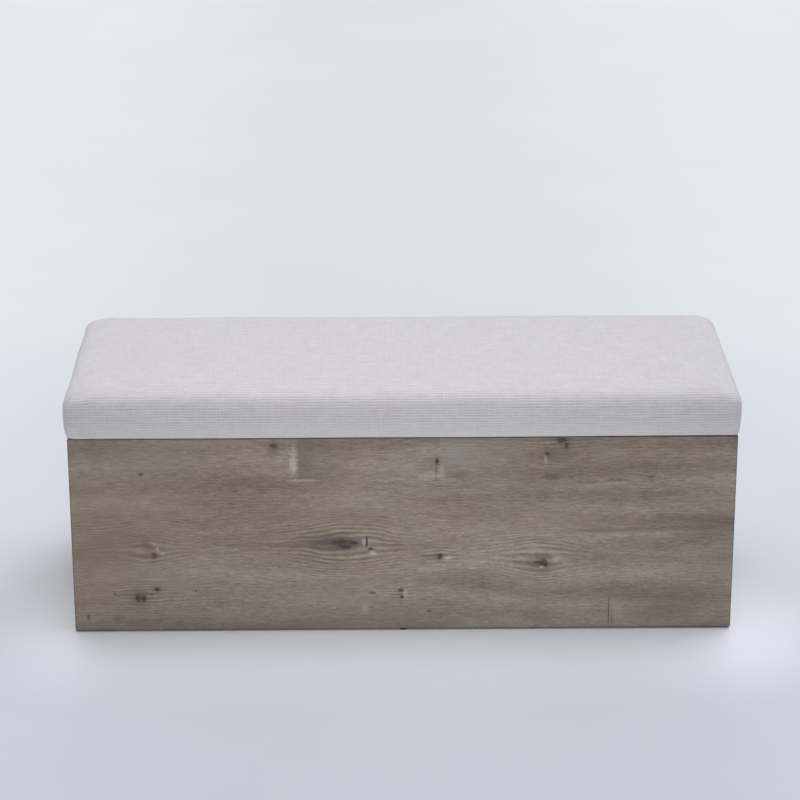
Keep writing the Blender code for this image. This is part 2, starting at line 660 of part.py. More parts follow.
def make_socket(name, pivot, ball, tilt, direction, mouth):
    """A ball socket: a cup across the strut on a shank along it, open towards its bracket."""
    profile = [(0, SOCKET_LENGTH), (SHANK_RADIUS, SOCKET_LENGTH), (SHANK_RADIUS, 0), (0, 0)]
    turn = (tilt if direction > 0 else tilt + math.pi, 0, 0)
    socket = add_part(name, turned_mesh(name, profile), "black_plastic", ball, turn, pivot)
    add_screw(socket, SIDES)
    cup = rod_mesh(f"{name}_cup", SOCKET_RADIUS, 2 * SOCKET_RADIUS, ((-mouth * SOCKET_RADIUS / 3, 0, 0),), "X")
    combine(socket, cup.name, cup, "UNION", ball)
    hollow = bmesh.new()
    bmesh.ops.create_uvsphere(hollow, u_segments=12, v_segments=8, radius=BALL_RADIUS + 2 * BORE_PLAY)
    hollow_mesh = finish_mesh(hollow, f"{name}_hollow")
    combine(socket, hollow_mesh.name, hollow_mesh, "DIFFERENCE", ball)
    way_in = rod_mesh(f"{name}_way_in", NECK_RADIUS + 2 * BORE_PLAY, 2 * SOCKET_RADIUS,
                      ((mouth * SOCKET_RADIUS, 0, 0),), "X", 12)
    combine(socket, way_in.name, way_in, "DIFFERENCE", ball)


def make_strut(word, side, lid_pivot):
    """A gas strut with its brackets. Half of the lid's turn swings it at each end, so with both
    studs equally far from the hinge axis the rod stays in line with the tube."""
    box_ball, lid_ball = strut_places(side)
    run = lid_ball - box_ball
    closed_length = run.length
    apart = 2 * math.asin(closed_length / (2 * STRUT_REACH))
    open_length = 2 * STRUT_REACH * math.sin((apart + math.radians(LID_OPEN_DEGREES)) / 2)
    tilt = math.atan2(-run.y, run.z)
    base_pivot = add_pivot(f"{word}_strut_base_pivot", box_ball)
    top_pivot = add_pivot(f"{word}_strut_top_pivot", lid_ball, lid_pivot)

    tube_start = SOCKET_LENGTH + SEAT_GAP
    tube_end = closed_length - SOCKET_LENGTH - SEAT_GAP - ROD_SHOWN
    bore = STRUT_TUBE_RADIUS - STRUT_TUBE_WALL
    guide = ROD_RADIUS + BORE_PLAY
    chamfer = STRUT_TUBE_WALL
    profile = [
        (guide, tube_end),
        (STRUT_TUBE_RADIUS - chamfer, tube_end),
        (STRUT_TUBE_RADIUS, tube_end - chamfer),
        (STRUT_TUBE_RADIUS, tube_start + chamfer),
        (STRUT_TUBE_RADIUS - chamfer, tube_start),
        (0, tube_start),
    ]
    inside = [
        (0, tube_start + STRUT_TUBE_END),
        (bore, tube_start + STRUT_TUBE_END),
        (bore, tube_end - STRUT_TUBE_END),
        (guide, tube_end - STRUT_TUBE_END),
        (guide, tube_end),
    ]
    name = f"{word}_strut_tube"
    mesh = bpy.data.meshes.new(name)
    outline = bmesh.new()
    for line in (profile, inside):
        corners = [outline.verts.new((radius, 0, height)) for radius, height in line]
        for first, second in zip(corners, corners[1:]):
            outline.edges.new((first, second))
    bmesh.ops.remove_doubles(outline, verts=outline.verts, dist=0.00001)
    outline.to_mesh(mesh)
    outline.free()
    tube = add_part(name, mesh, "black_tube", box_ball, (tilt, 0, 0), base_pivot)
    add_screw(tube, SIDES)
    make_socket(f"{word}_strut_tube_socket", base_pivot, box_ball, tilt, 1, side)

    rod_start = SOCKET_LENGTH + SEAT_GAP
    shown_open = open_length - 2 * SOCKET_LENGTH - 2 * SEAT_GAP - (tube_end - tube_start)
    rod_end = rod_start + shown_open + STRUT_TUBE_END + PISTON_LENGTH + PISTON_MARGIN
    piston = bore - BORE_PLAY
    profile = [
        (0, -rod_start),
        (ROD_RADIUS, -rod_start),
        (ROD_RADIUS, PISTON_LENGTH - rod_end),
        (piston, PISTON_LENGTH - rod_end),
        (piston, -rod_end),
        (0, -rod_end),
    ]
    name = f"{word}_strut_rod"
    rod = add_part(name, turned_mesh(name, profile), "bright_steel", lid_ball, (tilt, 0, 0), top_pivot)
    add_screw(rod, SIDES)
    make_socket(f"{word}_strut_rod_socket", top_pivot, lid_ball, tilt, -1, -side)

    make_box_bracket(f"{word}_strut_box_bracket", side, box_ball)
    make_lid_bracket(f"{word}_strut_lid_bracket", side, lid_ball, lid_pivot)


def main():
    clear_scene()
    make_collections()
    lid_pivot = add_pivot("lid_pivot", (0, HINGE_Y, HINGE_Z))
    make_lid(lid_pivot)
    make_long_panel("front_panel", -1)
    back_panel = make_long_panel("back_panel", 1)
    make_side_panel("left_side_panel", -1)
    make_side_panel("right_side_panel", 1)
    make_bottom()
    for name, side, end, place in cam_places():
        make_cam(f"cam_{name}", side, end, place)
        make_cam_bolt(f"cam_bolt_{name}", side, end, place)
    for name, (x, y) in glide_places().items():
        make_glide(name, x, y)
    bumper_x = BOX_WIDTH / 2 - BUMPER_FROM_END
    for name, x in (("left", -bumper_x), ("middle", 0.0), ("right", bumper_x)):
        make_bumper(f"lid_bumper_{name}", x)
    make_hinges(back_panel, lid_pivot)
    make_strut("left", -1, lid_pivot)
    make_strut("right", 1, lid_pivot)


main()
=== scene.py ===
"""Looks of the upholstered storage bench: oak-look boards, a woven padded lid, fittings and studio."""
import math
import random

import bmesh
import bpy
from mathutils import Matrix, Vector, noise


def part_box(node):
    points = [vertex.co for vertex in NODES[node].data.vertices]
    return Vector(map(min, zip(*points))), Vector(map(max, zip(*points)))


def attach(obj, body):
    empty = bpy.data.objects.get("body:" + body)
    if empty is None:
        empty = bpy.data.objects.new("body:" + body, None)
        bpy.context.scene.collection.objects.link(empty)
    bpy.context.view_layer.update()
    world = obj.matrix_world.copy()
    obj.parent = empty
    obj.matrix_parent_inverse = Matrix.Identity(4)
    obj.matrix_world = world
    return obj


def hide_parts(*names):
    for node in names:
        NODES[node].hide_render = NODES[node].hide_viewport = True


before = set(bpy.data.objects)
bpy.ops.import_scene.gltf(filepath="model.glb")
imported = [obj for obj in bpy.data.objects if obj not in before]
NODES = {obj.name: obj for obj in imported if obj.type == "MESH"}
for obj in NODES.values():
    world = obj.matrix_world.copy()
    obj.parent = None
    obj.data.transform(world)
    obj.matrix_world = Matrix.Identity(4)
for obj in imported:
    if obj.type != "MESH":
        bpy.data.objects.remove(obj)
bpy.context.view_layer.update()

# Camera, as fitted to the photograph's 800 by 800 frame
CAMERA_PLACE = Vector((-0.0549, -4.7605, 2.1082))
CAMERA_PITCH = 20.084
CAMERA_YAW = 0.627
CAMERA_ROLL = -0.0925
CAMERA_LENS = 122.3
SENSOR = 36.0

# Studio light: the sky, dimmer towards its sides, a wide lamp overhead and a soft one in front
WORLD_LEVEL = 0.62
WORLD_SIDES = 0.30
WORLD_TINT = (0.99, 0.99, 0.985)
BACKDROP = (226, 230, 235)
KEY_LEVEL = 1.74
KEY_PLACE = (0.60, 0.90, 4.0)
KEY_SPREAD = 50
KEY_TINT = (0.97, 0.985, 1.04)
FRONT_WATTS = 90
FRONT_PLACE = (0.08, -3.60, 1.50)
FRONT_TARGET = (0.0, -0.22, 0.36)
FRONT_CONE = 28
FRONT_SOFTNESS = 0.25
FRONT_TINT = (1.0, 0.975, 0.93)

# Floor: colours from the front to the back, darker towards the front as painted shade; painted light
# makes it brighter at its sides and near the box
FLOOR_SIZE = 40.0
FLOOR_FRONT, FLOOR_BACK = -2.0, 6.0
FLOOR_TONES = ((0.0, (200, 202, 211)), (0.2, (204, 207, 215)),
               (0.45, (223, 227, 231)), (1.0, (227, 231, 234)))
# Painted shade in the floor's middle and painted light towards its sides
FLOOR_MIDDLE_PAINTED_SHADE, FLOOR_SIDE_PAINTED_LIGHT = 0.97, 1.06
# Painted light on the floor near the box's front and sides, against the box's shadow: its reach, strength
# and margin
NEAR_PAINTED_LIGHT_REACH = 0.34
NEAR_PAINTED_LIGHT = 1.46
NEAR_MARGIN = 0.02

# Lid and front, read from the frame
COVER_LOW, COVER_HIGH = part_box("seat_cover")
LINING_LOW, LINING_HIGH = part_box("lid_lining")
FRONT_LOW, FRONT_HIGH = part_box("front_panel")
LID_BOTTOM = COVER_LOW.z
HALF_X = (COVER_HIGH.x - COVER_LOW.x) / 2
HALF_Y = (COVER_HIGH.y - COVER_LOW.y) / 2

# Form of the cushion, above the lid's underside and in from its widest line
BULGE = 0.008
WAIST_HEIGHT = 0.045
SHOULDER_HEIGHT = 0.041
SHOULDER_WIDTH = 0.045
SHOULDER_POWER = 2.7
WAIST_INSET = 0.001
CROWN_RISE = 0.007
CROWN_FLAT = 0.030
CROWN_ONSET = 9
WAIST_CORNER = 0.024
SHOULDER_CORNER = WAIST_CORNER + SHOULDER_WIDTH / 2
HEM_CORNER = 0.012
DRAWN_POWER = 1.3
HEM_ROLL = 0.0035
HEM_TURN = 0.042
HEM_SAG = 0.0012  # the cloth's edge hangs towards the box, less at the right end
COVER_THICKNESS = 0.0012
FOAM_BOTTOM = 0.0171  # just above the lid board
CELL = 0.008  # mesh spacing before the last subdivision
SHOULDER_STEPS, SIDE_STEPS, ROLL_STEPS, HEM_STEPS = 10, 6, 3, 5
SIM_FRAMES = 18
SIM_MASS = 0.3
SIM_STIFFNESS, SIM_BENDING = 20, 2.0
SIM_PRESSURE = 4.0
SIM_SHRINK = 0.0003
SIM_CAP = 0.003
WAVE_HEIGHT, RIPPLE_HEIGHT = 0.0013, 0.0005

# Pleats at the hem's corners, from the lining's corner out; across and down, as shares of their size
PLEAT_START, PLEAT_END = 0.0375, 0.0145
PLEAT_HALF_WIDTHS = (0.0020, 0.0065)
PLEAT_DEPTH = 0.0010
PLEAT_SUNK = 0.0003
PLEAT_PROFILE = ((-1.0, 0.0), (-0.5, 0.5), (0.0, 0.8), (0.55, 1.0), (0.8, 0.7), (0.88, 0.0))
PLEAT_STEPS = 10

# Boards and fittings
EDGE_LINE = 0.0012
SKIN_SCALE = 700.0
PANEL_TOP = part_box("hinge_left_pin")[0].z + 0.00115
LID_LEAF_UNDER = LID_BOTTOM - 0.0015
SCREW_SUNK = 0.00012
SCREW_DEPTH = 0.010
LEAF_SCREW = (0.0028, 0.0)  # radius and height of the head's dome
BRACKET_SCREW = (0.0036, 0.0016)
LEAF_HOLE_PITCH = 0.020
LEAF_HOLE_IN = 0.0075
BRACKET_THICKNESS = 0.0020
BRACKET_WIDTH = 0.024
BRACKET_HOLE_PITCH = 0.032
STAPLE_INSET = 0.006
STAPLE_SPACING = 0.038
STAPLE_HALF, STAPLE_WIRE, STAPLE_LEG = 0.0050, 0.0006, 0.0035
STAPLE_BEND, STAPLE_HALF_WIDTH = 0.0008, 0.0005
STAPLE_SEED = 7

# Weave of the cover, and the attribute that carries its flat coordinates
RIB_PITCH = 0.0052
THREAD_PITCH = 0.0049
THREAD_SLACK, THREAD_DRIFT = 0.003, 0.012
# Painted light: the hem's cloth is paler between these heights
PAINTED_HEM_LIGHT_LOW, PAINTED_HEM_LIGHT_HIGH = 0.006, 0.034
CLOTH_PLACE = "cloth_place"


class Graph:
    """Short calls for a material's nodes; every call returns an output socket."""

    def __init__(self, tree):
        self.tree = tree

    def node(self, kind, inputs=(), output=0, **settings):
        made = self.tree.nodes.new(kind)
        for key, value in settings.items():
            setattr(made, key, value)
        for key, value in dict(inputs).items():
            self.feed(made.inputs[key], value)
        return made.outputs[output]

    def feed(self, socket, value):
        if isinstance(value, bpy.types.NodeSocket):
            self.tree.links.new(value, socket)
        else:
            socket.default_value = (*value, 1.0) if socket.type == "RGBA" else value

    def shader(self, **sockets):
        """Feed the Principled shader; spaces in its sockets' names are written as underscores."""
        for key, value in sockets.items():
            self.feed(self.tree.nodes["Principled BSDF"].inputs[key.replace("_", " ")], value)

    def math(self, operation, *values, clamp=False):
        return self.node("ShaderNodeMath", enumerate(values), operation=operation, use_clamp=clamp)

    def times(self, first, second, clamp=False):
        return self.math("MULTIPLY", first, second, clamp=clamp)

    def minus(self, first, second):
        return self.math("SUBTRACT", first, second)

    def vector(self, operation, *values, output=0):
        return self.node("ShaderNodeVectorMath", enumerate(values), output, operation=operation)

    def object_point(self):
        return self.node("ShaderNodeTexCoord", output="Object")

    def split(self, vector):
        made = self.tree.nodes.new("ShaderNodeSeparateXYZ")
        self.feed(made.inputs[0], vector)
        return made.outputs

    def join(self, x=0.0, y=0.0, z=0.0):
        return self.node("ShaderNodeCombineXYZ", {"X": x, "Y": y, "Z": z})

    def noise(self, vector, scale, detail, roughness=0.5):
        return self.node(
            "ShaderNodeTexNoise",
            {"Vector": vector, "Scale": scale, "Detail": detail, "Roughness": roughness},
        )

    def centred(self, vector, scale, detail, roughness=0.5):
        """Noise that swings about zero."""
        return self.minus(self.noise(vector, scale, detail, roughness), 0.5)

    def ramp(self, value, stops):
        """Stops of (place, colour)."""
        made = self.tree.nodes.new("ShaderNodeValToRGB")
        elements = made.color_ramp.elements
        while len(elements) < len(stops):
            elements.new(0.5)
        for element, (place, colour) in zip(elements, stops):
            element.position = place
            element.color = (*colour, 1.0)
        self.feed(made.inputs[0], value)
        return made.outputs[0]

    def remap(self, value, low, high, to_low=0.0, to_high=1.0, kind="LINEAR"):
        return self.node(
            "ShaderNodeMapRange",
            {"Value": value, "From Min": low, "From Max": high, "To Min": to_low, "To Max": to_high},
            clamp=True, interpolation_type=kind,
        )

    def mix(self, factor, first, second, blend="MIX"):
        return self.node("ShaderNodeMix", {0: factor, 6: first, 7: second}, 2,
                         data_type="RGBA", blend_type=blend)

    def shade(self, colour, factor):
        """Multiply a colour by a grey factor."""
        return self.mix(1.0, colour, factor, "MULTIPLY")

    def bump(self, height, distance, strength):
        return self.node("ShaderNodeBump", {"Height": height, "Distance": distance, "Strength": strength})

    def stretched(self, vector, x=1.0, y=1.0):
        return self.vector("MULTIPLY", vector, (x, y, 1.0))


def new_material(name, **constants):
    """A material with its Principled shader's constant sockets set; returns it with its graph."""
    material = bpy.data.materials.new(name)
    material.use_nodes = True
    graph = Graph(material.node_tree)
    graph.shader(**constants)
    return material, graph


def linear(red, green, blue):
    """Linear colour of an 8-bit display colour."""
    def channel(value):
        value /= 255
        return value / 12.92 if value <= 0.04045 else ((value + 0.055) / 1.055) ** 2.4
    return (channel(red), channel(green), channel(blue))


def dress(names, material):
    for name in names:
        for slot in NODES[name].material_slots:
            slot.link = "OBJECT"
            slot.material = material


def named_nodes(*words):
    return [name for name in NODES if any(word in name for word in words)]


OAK_TONES = {
    "knot": linear(50, 41, 40),
    "dark": linear(96, 82, 76),
    "warm": linear(136, 114, 94),
    "grey": linear(152, 144, 141),
    "light": linear(182, 171, 157),
    "pale": linear(206, 197, 185),
}
SMALL_MARK = 0.00012  # product of the half sizes below which a mark counts as small
SPECK_REACH = 0.0125
GRAIN_DRIFT, GRAIN_WANDER = 0.034, 0.0055
LINE_TURN, LINE_SWAY = 1080.0, 16.0  # phase of the grain's drawn lines, per metre and by its bands
OAK_LOW = linear(122, 108, 95)
OAK_MID = linear(151, 138, 123)
OAK_HIGH = linear(174, 163, 148)

# Where the grain parts, lengths in millimetres: x, z, reach along, reach across; then its share
FRONT_BENDS = [
    (-100, 172, 110, 56, 0.74), (-462, 164, 56, 48, 0.68), (-466, 74, 60, 30, 0.5),
    (67, 147, 35, 20, 0.4), (245, 142, 80, 52, 0.74), (-5, 72, 30, 18, 0.3), (286, 372, 50, 20, 0.35),
    (-530, 190, 120, 24, -0.55),
]
# Marks in the grain and broad clouds of painted shade: tone; x, z, half length, half height in
# millimetres; strength, raggedness
FRONT_MARKS = [
    ("dark", -130, 176, 64, 18, 0.95, 0.9), ("light", -74, 170, 32, 17, 0.6, 1.0),
    ("dark", -98, 171, 30, 13, 0.7, 1.6), ("knot", -112, 174, 16, 6, 0.9, 1.8),
    ("knot", -104, 166, 10, 3.6, 0.9, 1.8), ("knot", -90, 174, 8, 3, 0.9, 1.8),
    ("knot", -66, 176, 2, 11, 0.85, 0.9), ("knot", -59, 162, 5, 3, 0.8, 1.2),
    ("pale", -55, 154, 6, 4, 0.7, 1.0), ("pale", -71, 176, 3, 6, 0.5, 1.2),
    ("dark", -210, 171, 120, 3.5, 0.45, 0.8), ("knot", -452, 151, 5.2, 6, 1.0, 0.5),
    ("pale", -445, 163, 2.8, 4.5, 0.7, 1.2), ("dark", -462, 152, 18, 4.5, 0.6, 0.8),
    ("pale", -436, 154, 6, 2, 0.4, 1.2), ("dark", -480, 190, 75, 20, 0.42, 1.1),
    ("dark", -466, 172, 10, 16, 0.55, 1.1), ("warm", -535, 160, 85, 22, 0.45, 1.0),
    ("light", -512, 163, 60, 2.2, 0.45, 0.8), ("grey", -425, 88, 55, 22, 0.65, 0.9),
    ("dark", -485, 74, 40, 10, 0.55, 0.9), ("knot", -483, 67, 5.5, 7, 1.0, 0.5),
    ("knot", -473, 66, 4.5, 6.2, 1.0, 0.6), ("knot", -448, 84, 5.5, 3.5, 1.0, 0.8),
    ("knot", -458, 75, 3, 2, 0.8, 0.8), ("light", -452, 104, 24, 2.2, 0.6, 0.8),
    ("knot", -378, 81, 2.5, 1.8, 0.8, 0.6), ("knot", -525, 76, 2.2, 1.8, 0.8, 0.6),
    ("dark", -520, 26, 12, 10, 0.6, 1.2), ("knot", -575, 30, 2.2, 4.5, 0.7, 0.8),
    ("knot", -471, 309, 2.8, 2.2, 0.8, 0.6), ("grey", -455, 335, 100, 22, 0.6, 1.0),
    ("light", -470, 322, 60, 2.5, 0.4, 1.0), ("knot", -231, 363, 7.5, 4.5, 0.75, 1.3),
    ("dark", -232, 350, 10, 18, 0.4, 1.0), ("pale", -197, 327, 5.5, 17, 0.6, 1.7),
    ("light", -197, 352, 4, 14, 0.5, 1.6), ("light", -180, 296, 26, 2.5, 0.6, 1.0),
    ("dark", -40, 290, 50, 4, 0.4, 1.2), ("knot", 67, 147, 4.5, 5.4, 1.0, 0.4),
    ("pale", 80, 143, 10, 3, 0.6, 1.5), ("light", 70, 155, 10, 2.5, 0.5, 1.4),
    ("dark", 52, 147, 18, 4, 0.45, 0.9), ("knot", 61, 332, 3.2, 6, 0.9, 0.8),
    ("knot", 59.5, 309, 1, 15, 0.75, 0.6), ("light", 48, 305, 18, 6, 0.6, 1.4),
    ("light", 68, 312, 5, 14, 0.5, 1.2), ("dark", 94, 302, 20, 8, 0.55, 1.8),
    ("warm", 120, 296, 60, 12, 0.5, 1.2), ("knot", 284, 371, 8.5, 5, 0.95, 1.2),
    ("knot", 293, 361, 3.5, 6, 0.8, 1.0), ("dark", 270, 350, 34, 22, 0.5, 1.4),
    ("knot", 259, 345, 4, 3.4, 0.8, 1.0), ("light", 256, 333, 3, 8, 0.5, 1.2),
    ("dark", 264, 301, 16, 6, 0.6, 1.6), ("dark", 332, 290, 30, 4, 0.55, 1.6),
    ("dark", 385, 294, 22, 3, 0.55, 1.4), ("dark", 446, 300, 8, 2, 0.8, 1.0),
    ("grey", 365, 350, 30, 24, 0.45, 1.2), ("dark", 238, 130, 36, 16, 0.6, 1.0),
    ("knot", 256, 132, 6.5, 8.5, 1.0, 1.3), ("knot", 246, 134, 8, 2.2, 0.8, 1.2),
    ("light", 280, 140, 22, 10, 0.5, 1.5), ("pale", 253, 124, 4.5, 2.8, 0.5, 1.0),
    ("light", 234, 165, 14, 6, 0.45, 1.0), ("light", 235, 188, 55, 2.2, 0.5, 0.7),
    ("dark", 370, 196, 80, 4.5, 0.55, 0.9), ("dark", 500, 200, 90, 6, 0.45, 1.0),
    ("dark", 245, 36, 30, 30, 0.25, 1.2), ("knot", 376, 34, 1.1, 30, 0.75, 0.7),
    ("knot", 382, 16, 1.2, 16, 0.5, 0.8), ("light", 392, 40, 12, 24, 0.45, 1.6),
    ("knot", -4, 80, 4.5, 2.8, 0.85, 1.0), ("knot", -2, 67, 3.5, 2.6, 0.85, 1.0),
    ("pale", 4, 73, 4, 9, 0.45, 1.6), ("dark", -56, 75, 6, 2.5, 0.9, 0.8),
    ("light", -70, 42, 6, 10, 0.5, 1.4), ("knot", 47, 38, 3, 2.2, 0.6, 0.8),
    ("grey", -120, 70, 60, 18, 0.45, 1.2), ("dark", 470, 62, 100, 10, 0.45, 1.1),
    # The broad cloud at x -560 is warmer decor and painted shade towards the left end; the one at x 560
    # is painted shade towards the right end; the band at z 0 is painted shade along the foot.
    ("warm", 480, 40, 60, 18, 0.45, 1.0), ("warm", -560, 190, 180, 160, 0.55, 1.0),
    ("dark", 560, 190, 160, 200, 0.16, 1.0), ("dark", 0, 0, 900, 50, 0.46, 0.6),
]
# Patches with one clean upright edge: tone; edge x, far x, low z, high z in millimetres; strength
FRONT_PATCHES = [
    ("dark", -190, -80, 288, 390, 0.5), ("grey", 64, 230, 316, 395, 0.55),
    ("light", 30, -100, 296, 330, 0.3),
]
PLAIN_BENDS = [
    (160, 205, 110, 34, 0.68), (-240, 110, 60, 26, 0.55), (-420, 290, 70, 24, 0.45),
    (460, 120, 70, 26, 0.55),
]
PLAIN_MARKS = [
    ("dark", 135, 207, 60, 12, 0.8, 0.9), ("knot", 158, 205, 14, 4.5, 0.95, 1.5),
    ("light", 182, 202, 26, 12, 0.45, 1.2), ("knot", 190, 207, 1.6, 8, 0.8, 0.9),
    ("knot", -240, 110, 6, 4.8, 1.0, 0.6), ("pale", -232, 119, 4, 5, 0.6, 1.2),
    ("dark", -255, 111, 20, 5, 0.5, 0.8), ("grey", -210, 140, 60, 22, 0.5, 1.0),
    ("knot", -420, 290, 5, 4.2, 1.0, 0.8), ("pale", -410, 287, 7, 3, 0.5, 1.4),
    ("knot", 460, 120, 7, 5.5, 1.0, 1.0), ("dark", 440, 119, 30, 10, 0.55, 1.0),
    ("dark", -30, 320, 60, 6, 0.5, 1.4), ("warm", 320, 300, 100, 30, 0.45, 1.0),
]


def metres(lengths):
    return [length / 1000 for length in lengths]


def part_grain(graph, run, rise, bent, bends):
    """Press the grain away from each knot; returns its height and how near a knot it is."""
    stir = 0.0
    for *lengths, share in bends:
        x, z, reach_x, reach_z = metres(lengths)
        from_x = graph.minus(run, x)
        from_z = graph.minus(rise, z)
        far = graph.join(graph.math("DIVIDE", from_x, reach_x), graph.math("DIVIDE", from_z, reach_z))
        squared = graph.vector("DOT_PRODUCT", far, far, output="Value")
        pull = graph.math("EXPONENT", graph.times(squared, -1.0))
        bent = graph.minus(bent, graph.times(graph.times(from_z, share), pull))
        stir = graph.math("MAXIMUM", stir, pull)
    return bent, stir


def paint_patches(graph, colour, run, rise, patches, rough_edge, soft_edge):
    for tone, *lengths, strength in patches:
        start_x, far_x, low, high = metres(lengths)
        side = math.copysign(1.0, far_x - start_x)
        ragged_x = graph.math("MULTIPLY_ADD", rough_edge, 0.008, run)
        mask = graph.remap(ragged_x, start_x - side * 0.001, start_x + side * 0.004, 0.0, strength)
        fade = graph.remap(run, start_x, far_x, 1.0, 0.0)
        upright = graph.math("ABSOLUTE", graph.minus(rise, (low + high) / 2))
        upright = graph.math("MULTIPLY_ADD", soft_edge, 0.03, upright)
        body = graph.remap(upright, (high - low) / 2 - 0.012, (high - low) / 2, 1.0, 0.0)
        mask = graph.times(graph.times(mask, fade), body)
        colour = graph.mix(mask, colour, OAK_TONES[tone])
    return colour


def paint_marks(graph, colour, run, rise, marks, frays, fine, sunk):
    """Knots, flecks and clouds; frays holds the noises at the edges of specks, small and large marks."""
    crumb, rough_edge, soft_edge = frays
    for tone, *lengths, strength, ragged in marks:
        x, z, half_x, half_z = metres(lengths)
        is_small = half_x * half_z < SMALL_MARK
        is_speck = is_small and max(half_x, half_z) < SPECK_REACH
        offset = graph.join(graph.math("DIVIDE", graph.minus(run, x), half_x),
                            graph.math("DIVIDE", graph.minus(rise, z), half_z))
        away = graph.vector("LENGTH", offset, output="Value")
        stray = crumb if is_speck else rough_edge if is_small else soft_edge
        away = graph.math("MULTIPLY_ADD", stray, ragged * 1.7, away)
        if is_small and tone in ("pale", "light"):
            flecks = graph.remap(crumb, -0.06, 0.04, 0.3, 1.7)
            mask = graph.times(graph.remap(away, 0.60, 1.45, strength, 0.0), flecks, clamp=True)
        elif is_small:
            mask = graph.remap(away, 0.80, 1.20, strength, 0.0)
        else:
            mask = graph.remap(away, 0.15, 1.30, strength, 0.0)
            mask = graph.times(mask, graph.remap(fine, 0.25, 0.55, 0.55, 1.0))
        if tone == "knot" and min(half_x, half_z) > 0.002:
            halo = graph.remap(away, 1.0, 3.2, 0.45 * strength, 0.0)
            colour = graph.mix(halo, colour, OAK_TONES["dark"])
        colour = graph.mix(mask, colour, OAK_TONES[tone])
        if tone == "knot":
            sunk = graph.math("MAXIMUM", sunk, mask)
    return colour, sunk


def oak_material(name, along, across, bends=(), marks=(), patches=(), seed=0.0, shift=0.0, edges=None):
    """Printed oak decor: fibres run along one axis and part round knots; edges is the board's box."""
    material, graph = new_material(name, Coat_Weight=0.10, Coat_Roughness=0.40)
    axes = dict(zip("XYZ", graph.split(graph.object_point())))
    run, rise = axes[along], axes[across]
    if shift:
        run = graph.math("ADD", run, shift)
    place = graph.join(run, rise, seed)

    bent = graph.math("MULTIPLY_ADD", graph.centred(place, 2.4, 3.0), GRAIN_DRIFT, rise)
    wander = graph.centred(graph.stretched(place, 0.40), 34.0, 3.0)
    bent = graph.math("MULTIPLY_ADD", wander, GRAIN_WANDER, bent)
    bent, stir = part_grain(graph, run, rise, bent, bends)

    def fibres(stretch, scale, detail, roughness, layer):
        point = graph.join(graph.times(run, stretch), bent, seed + layer)
        return graph.noise(point, scale, detail, roughness)

    bands = fibres(0.12, 20.0, 5.0, 0.52, 0.0)
    fine = fibres(0.11, 340.0, 4.0, 0.66, 2.0)
    hair = fibres(0.15, 760.0, 3.0, 0.60, 4.0)
    pores = fibres(0.13, 520.0, 2.0, 0.50, 6.0)
    patch = graph.noise(graph.stretched(place, 0.45), 5.5, 4.0, 0.6)

    colour = graph.ramp(bands, [(0.28, OAK_LOW), (0.50, OAK_MID), (0.74, OAK_HIGH)])
    hue = graph.noise(graph.stretched(place, 0.5), 4.0, 3.0)
    colour = graph.mix(graph.remap(hue, 0.48, 0.66, 0.0, 0.36), colour, OAK_TONES["warm"])
    colour = graph.mix(graph.remap(hue, 0.46, 0.30, 0.0, 0.40), colour, OAK_TONES["grey"])
    colour = graph.shade(colour, graph.remap(patch, 0.3, 0.7, 0.86, 1.14))
    colour = graph.shade(colour, graph.remap(fine, 0.28, 0.72, 0.62, 1.38))
    colour = graph.shade(colour, graph.remap(hair, 0.28, 0.72, 0.72, 1.28))

    phase = graph.math("MULTIPLY_ADD", bands, LINE_SWAY, graph.times(bent, LINE_TURN))
    wave = graph.math("SINE", phase)
    line = graph.remap(wave, 0.1, 1.0)
    line_field = graph.noise(graph.stretched(place, 0.6), 9.0, 2.0)
    line_share = graph.remap(line_field, 0.50, 0.70, 0.0, 0.22)
    line_share = graph.math("MAXIMUM", line_share, graph.times(stir, 0.95))
    breaks = graph.remap(fine, 0.35, 0.55, 0.50, 1.0)
    line_mask = graph.times(graph.times(line, line_share), breaks)
    colour = graph.mix(line_mask, colour, OAK_TONES["light"])
    trough = graph.remap(wave, -0.2, -1.0, 0.0, 0.55)
    colour = graph.mix(graph.times(trough, line_share), colour, OAK_TONES["dark"])
    pore_field = graph.remap(patch, 0.35, 0.60, 0.55, 0.18)
    pore_mask = graph.times(graph.remap(pores, 0.60, 0.68), pore_field)
    colour = graph.mix(pore_mask, colour, OAK_TONES["dark"])

    crumb = graph.centred(place, 560.0, 2.0, 0.7)
    rough_edge = graph.centred(place, 210.0, 3.0, 0.6)
    soft_edge = graph.centred(graph.stretched(place, 0.35), 60.0, 4.0, 0.65)
    colour = paint_patches(graph, colour, run, rise, patches, rough_edge, soft_edge)
    frays = (crumb, rough_edge, soft_edge)
    colour, sunk = paint_marks(graph, colour, run, rise, marks, frays, fine, pore_mask)
    # Dark line at the board's edges: partly the edge band's joint, partly painted shade of the rounded
    # edges.
    if edges:
        colour = graph.mix(edge_joint_and_shade_mask(graph, axes, along, across, edges), colour, OAK_TONES["knot"])
    relief = graph.math("MULTIPLY_ADD", sunk, -1.2, fine)
    graph.shader(Base_Color=colour, Roughness=graph.remap(fine, 0.2, 0.8, 0.48, 0.66),
                 Normal=graph.bump(relief, 0.0002, 0.45))
    return material


def edge_joint_and_shade_mask(graph, axes, along, across, box):
    """The dark line where the decor meets the edge band, partly a dark joint and partly painted shade of
    the rounded edge, inside a board's outline.
    """
    nearest = None
    for axis in (along, across):
        number = "XYZ".index(axis)
        middle = (box[0][number] + box[1][number]) / 2
        half = (box[1][number] - box[0][number]) / 2
        outward = graph.math("ABSOLUTE", graph.minus(axes[axis], middle))
        inward = graph.minus(half, outward)
        nearest = inward if nearest is None else graph.math("MINIMUM", nearest, inward)
    inner = graph.remap(nearest, EDGE_LINE, EDGE_LINE * 1.4, 0.75, 0.0)
    return graph.times(inner, graph.remap(nearest, EDGE_LINE * 0.2, EDGE_LINE * 0.5))


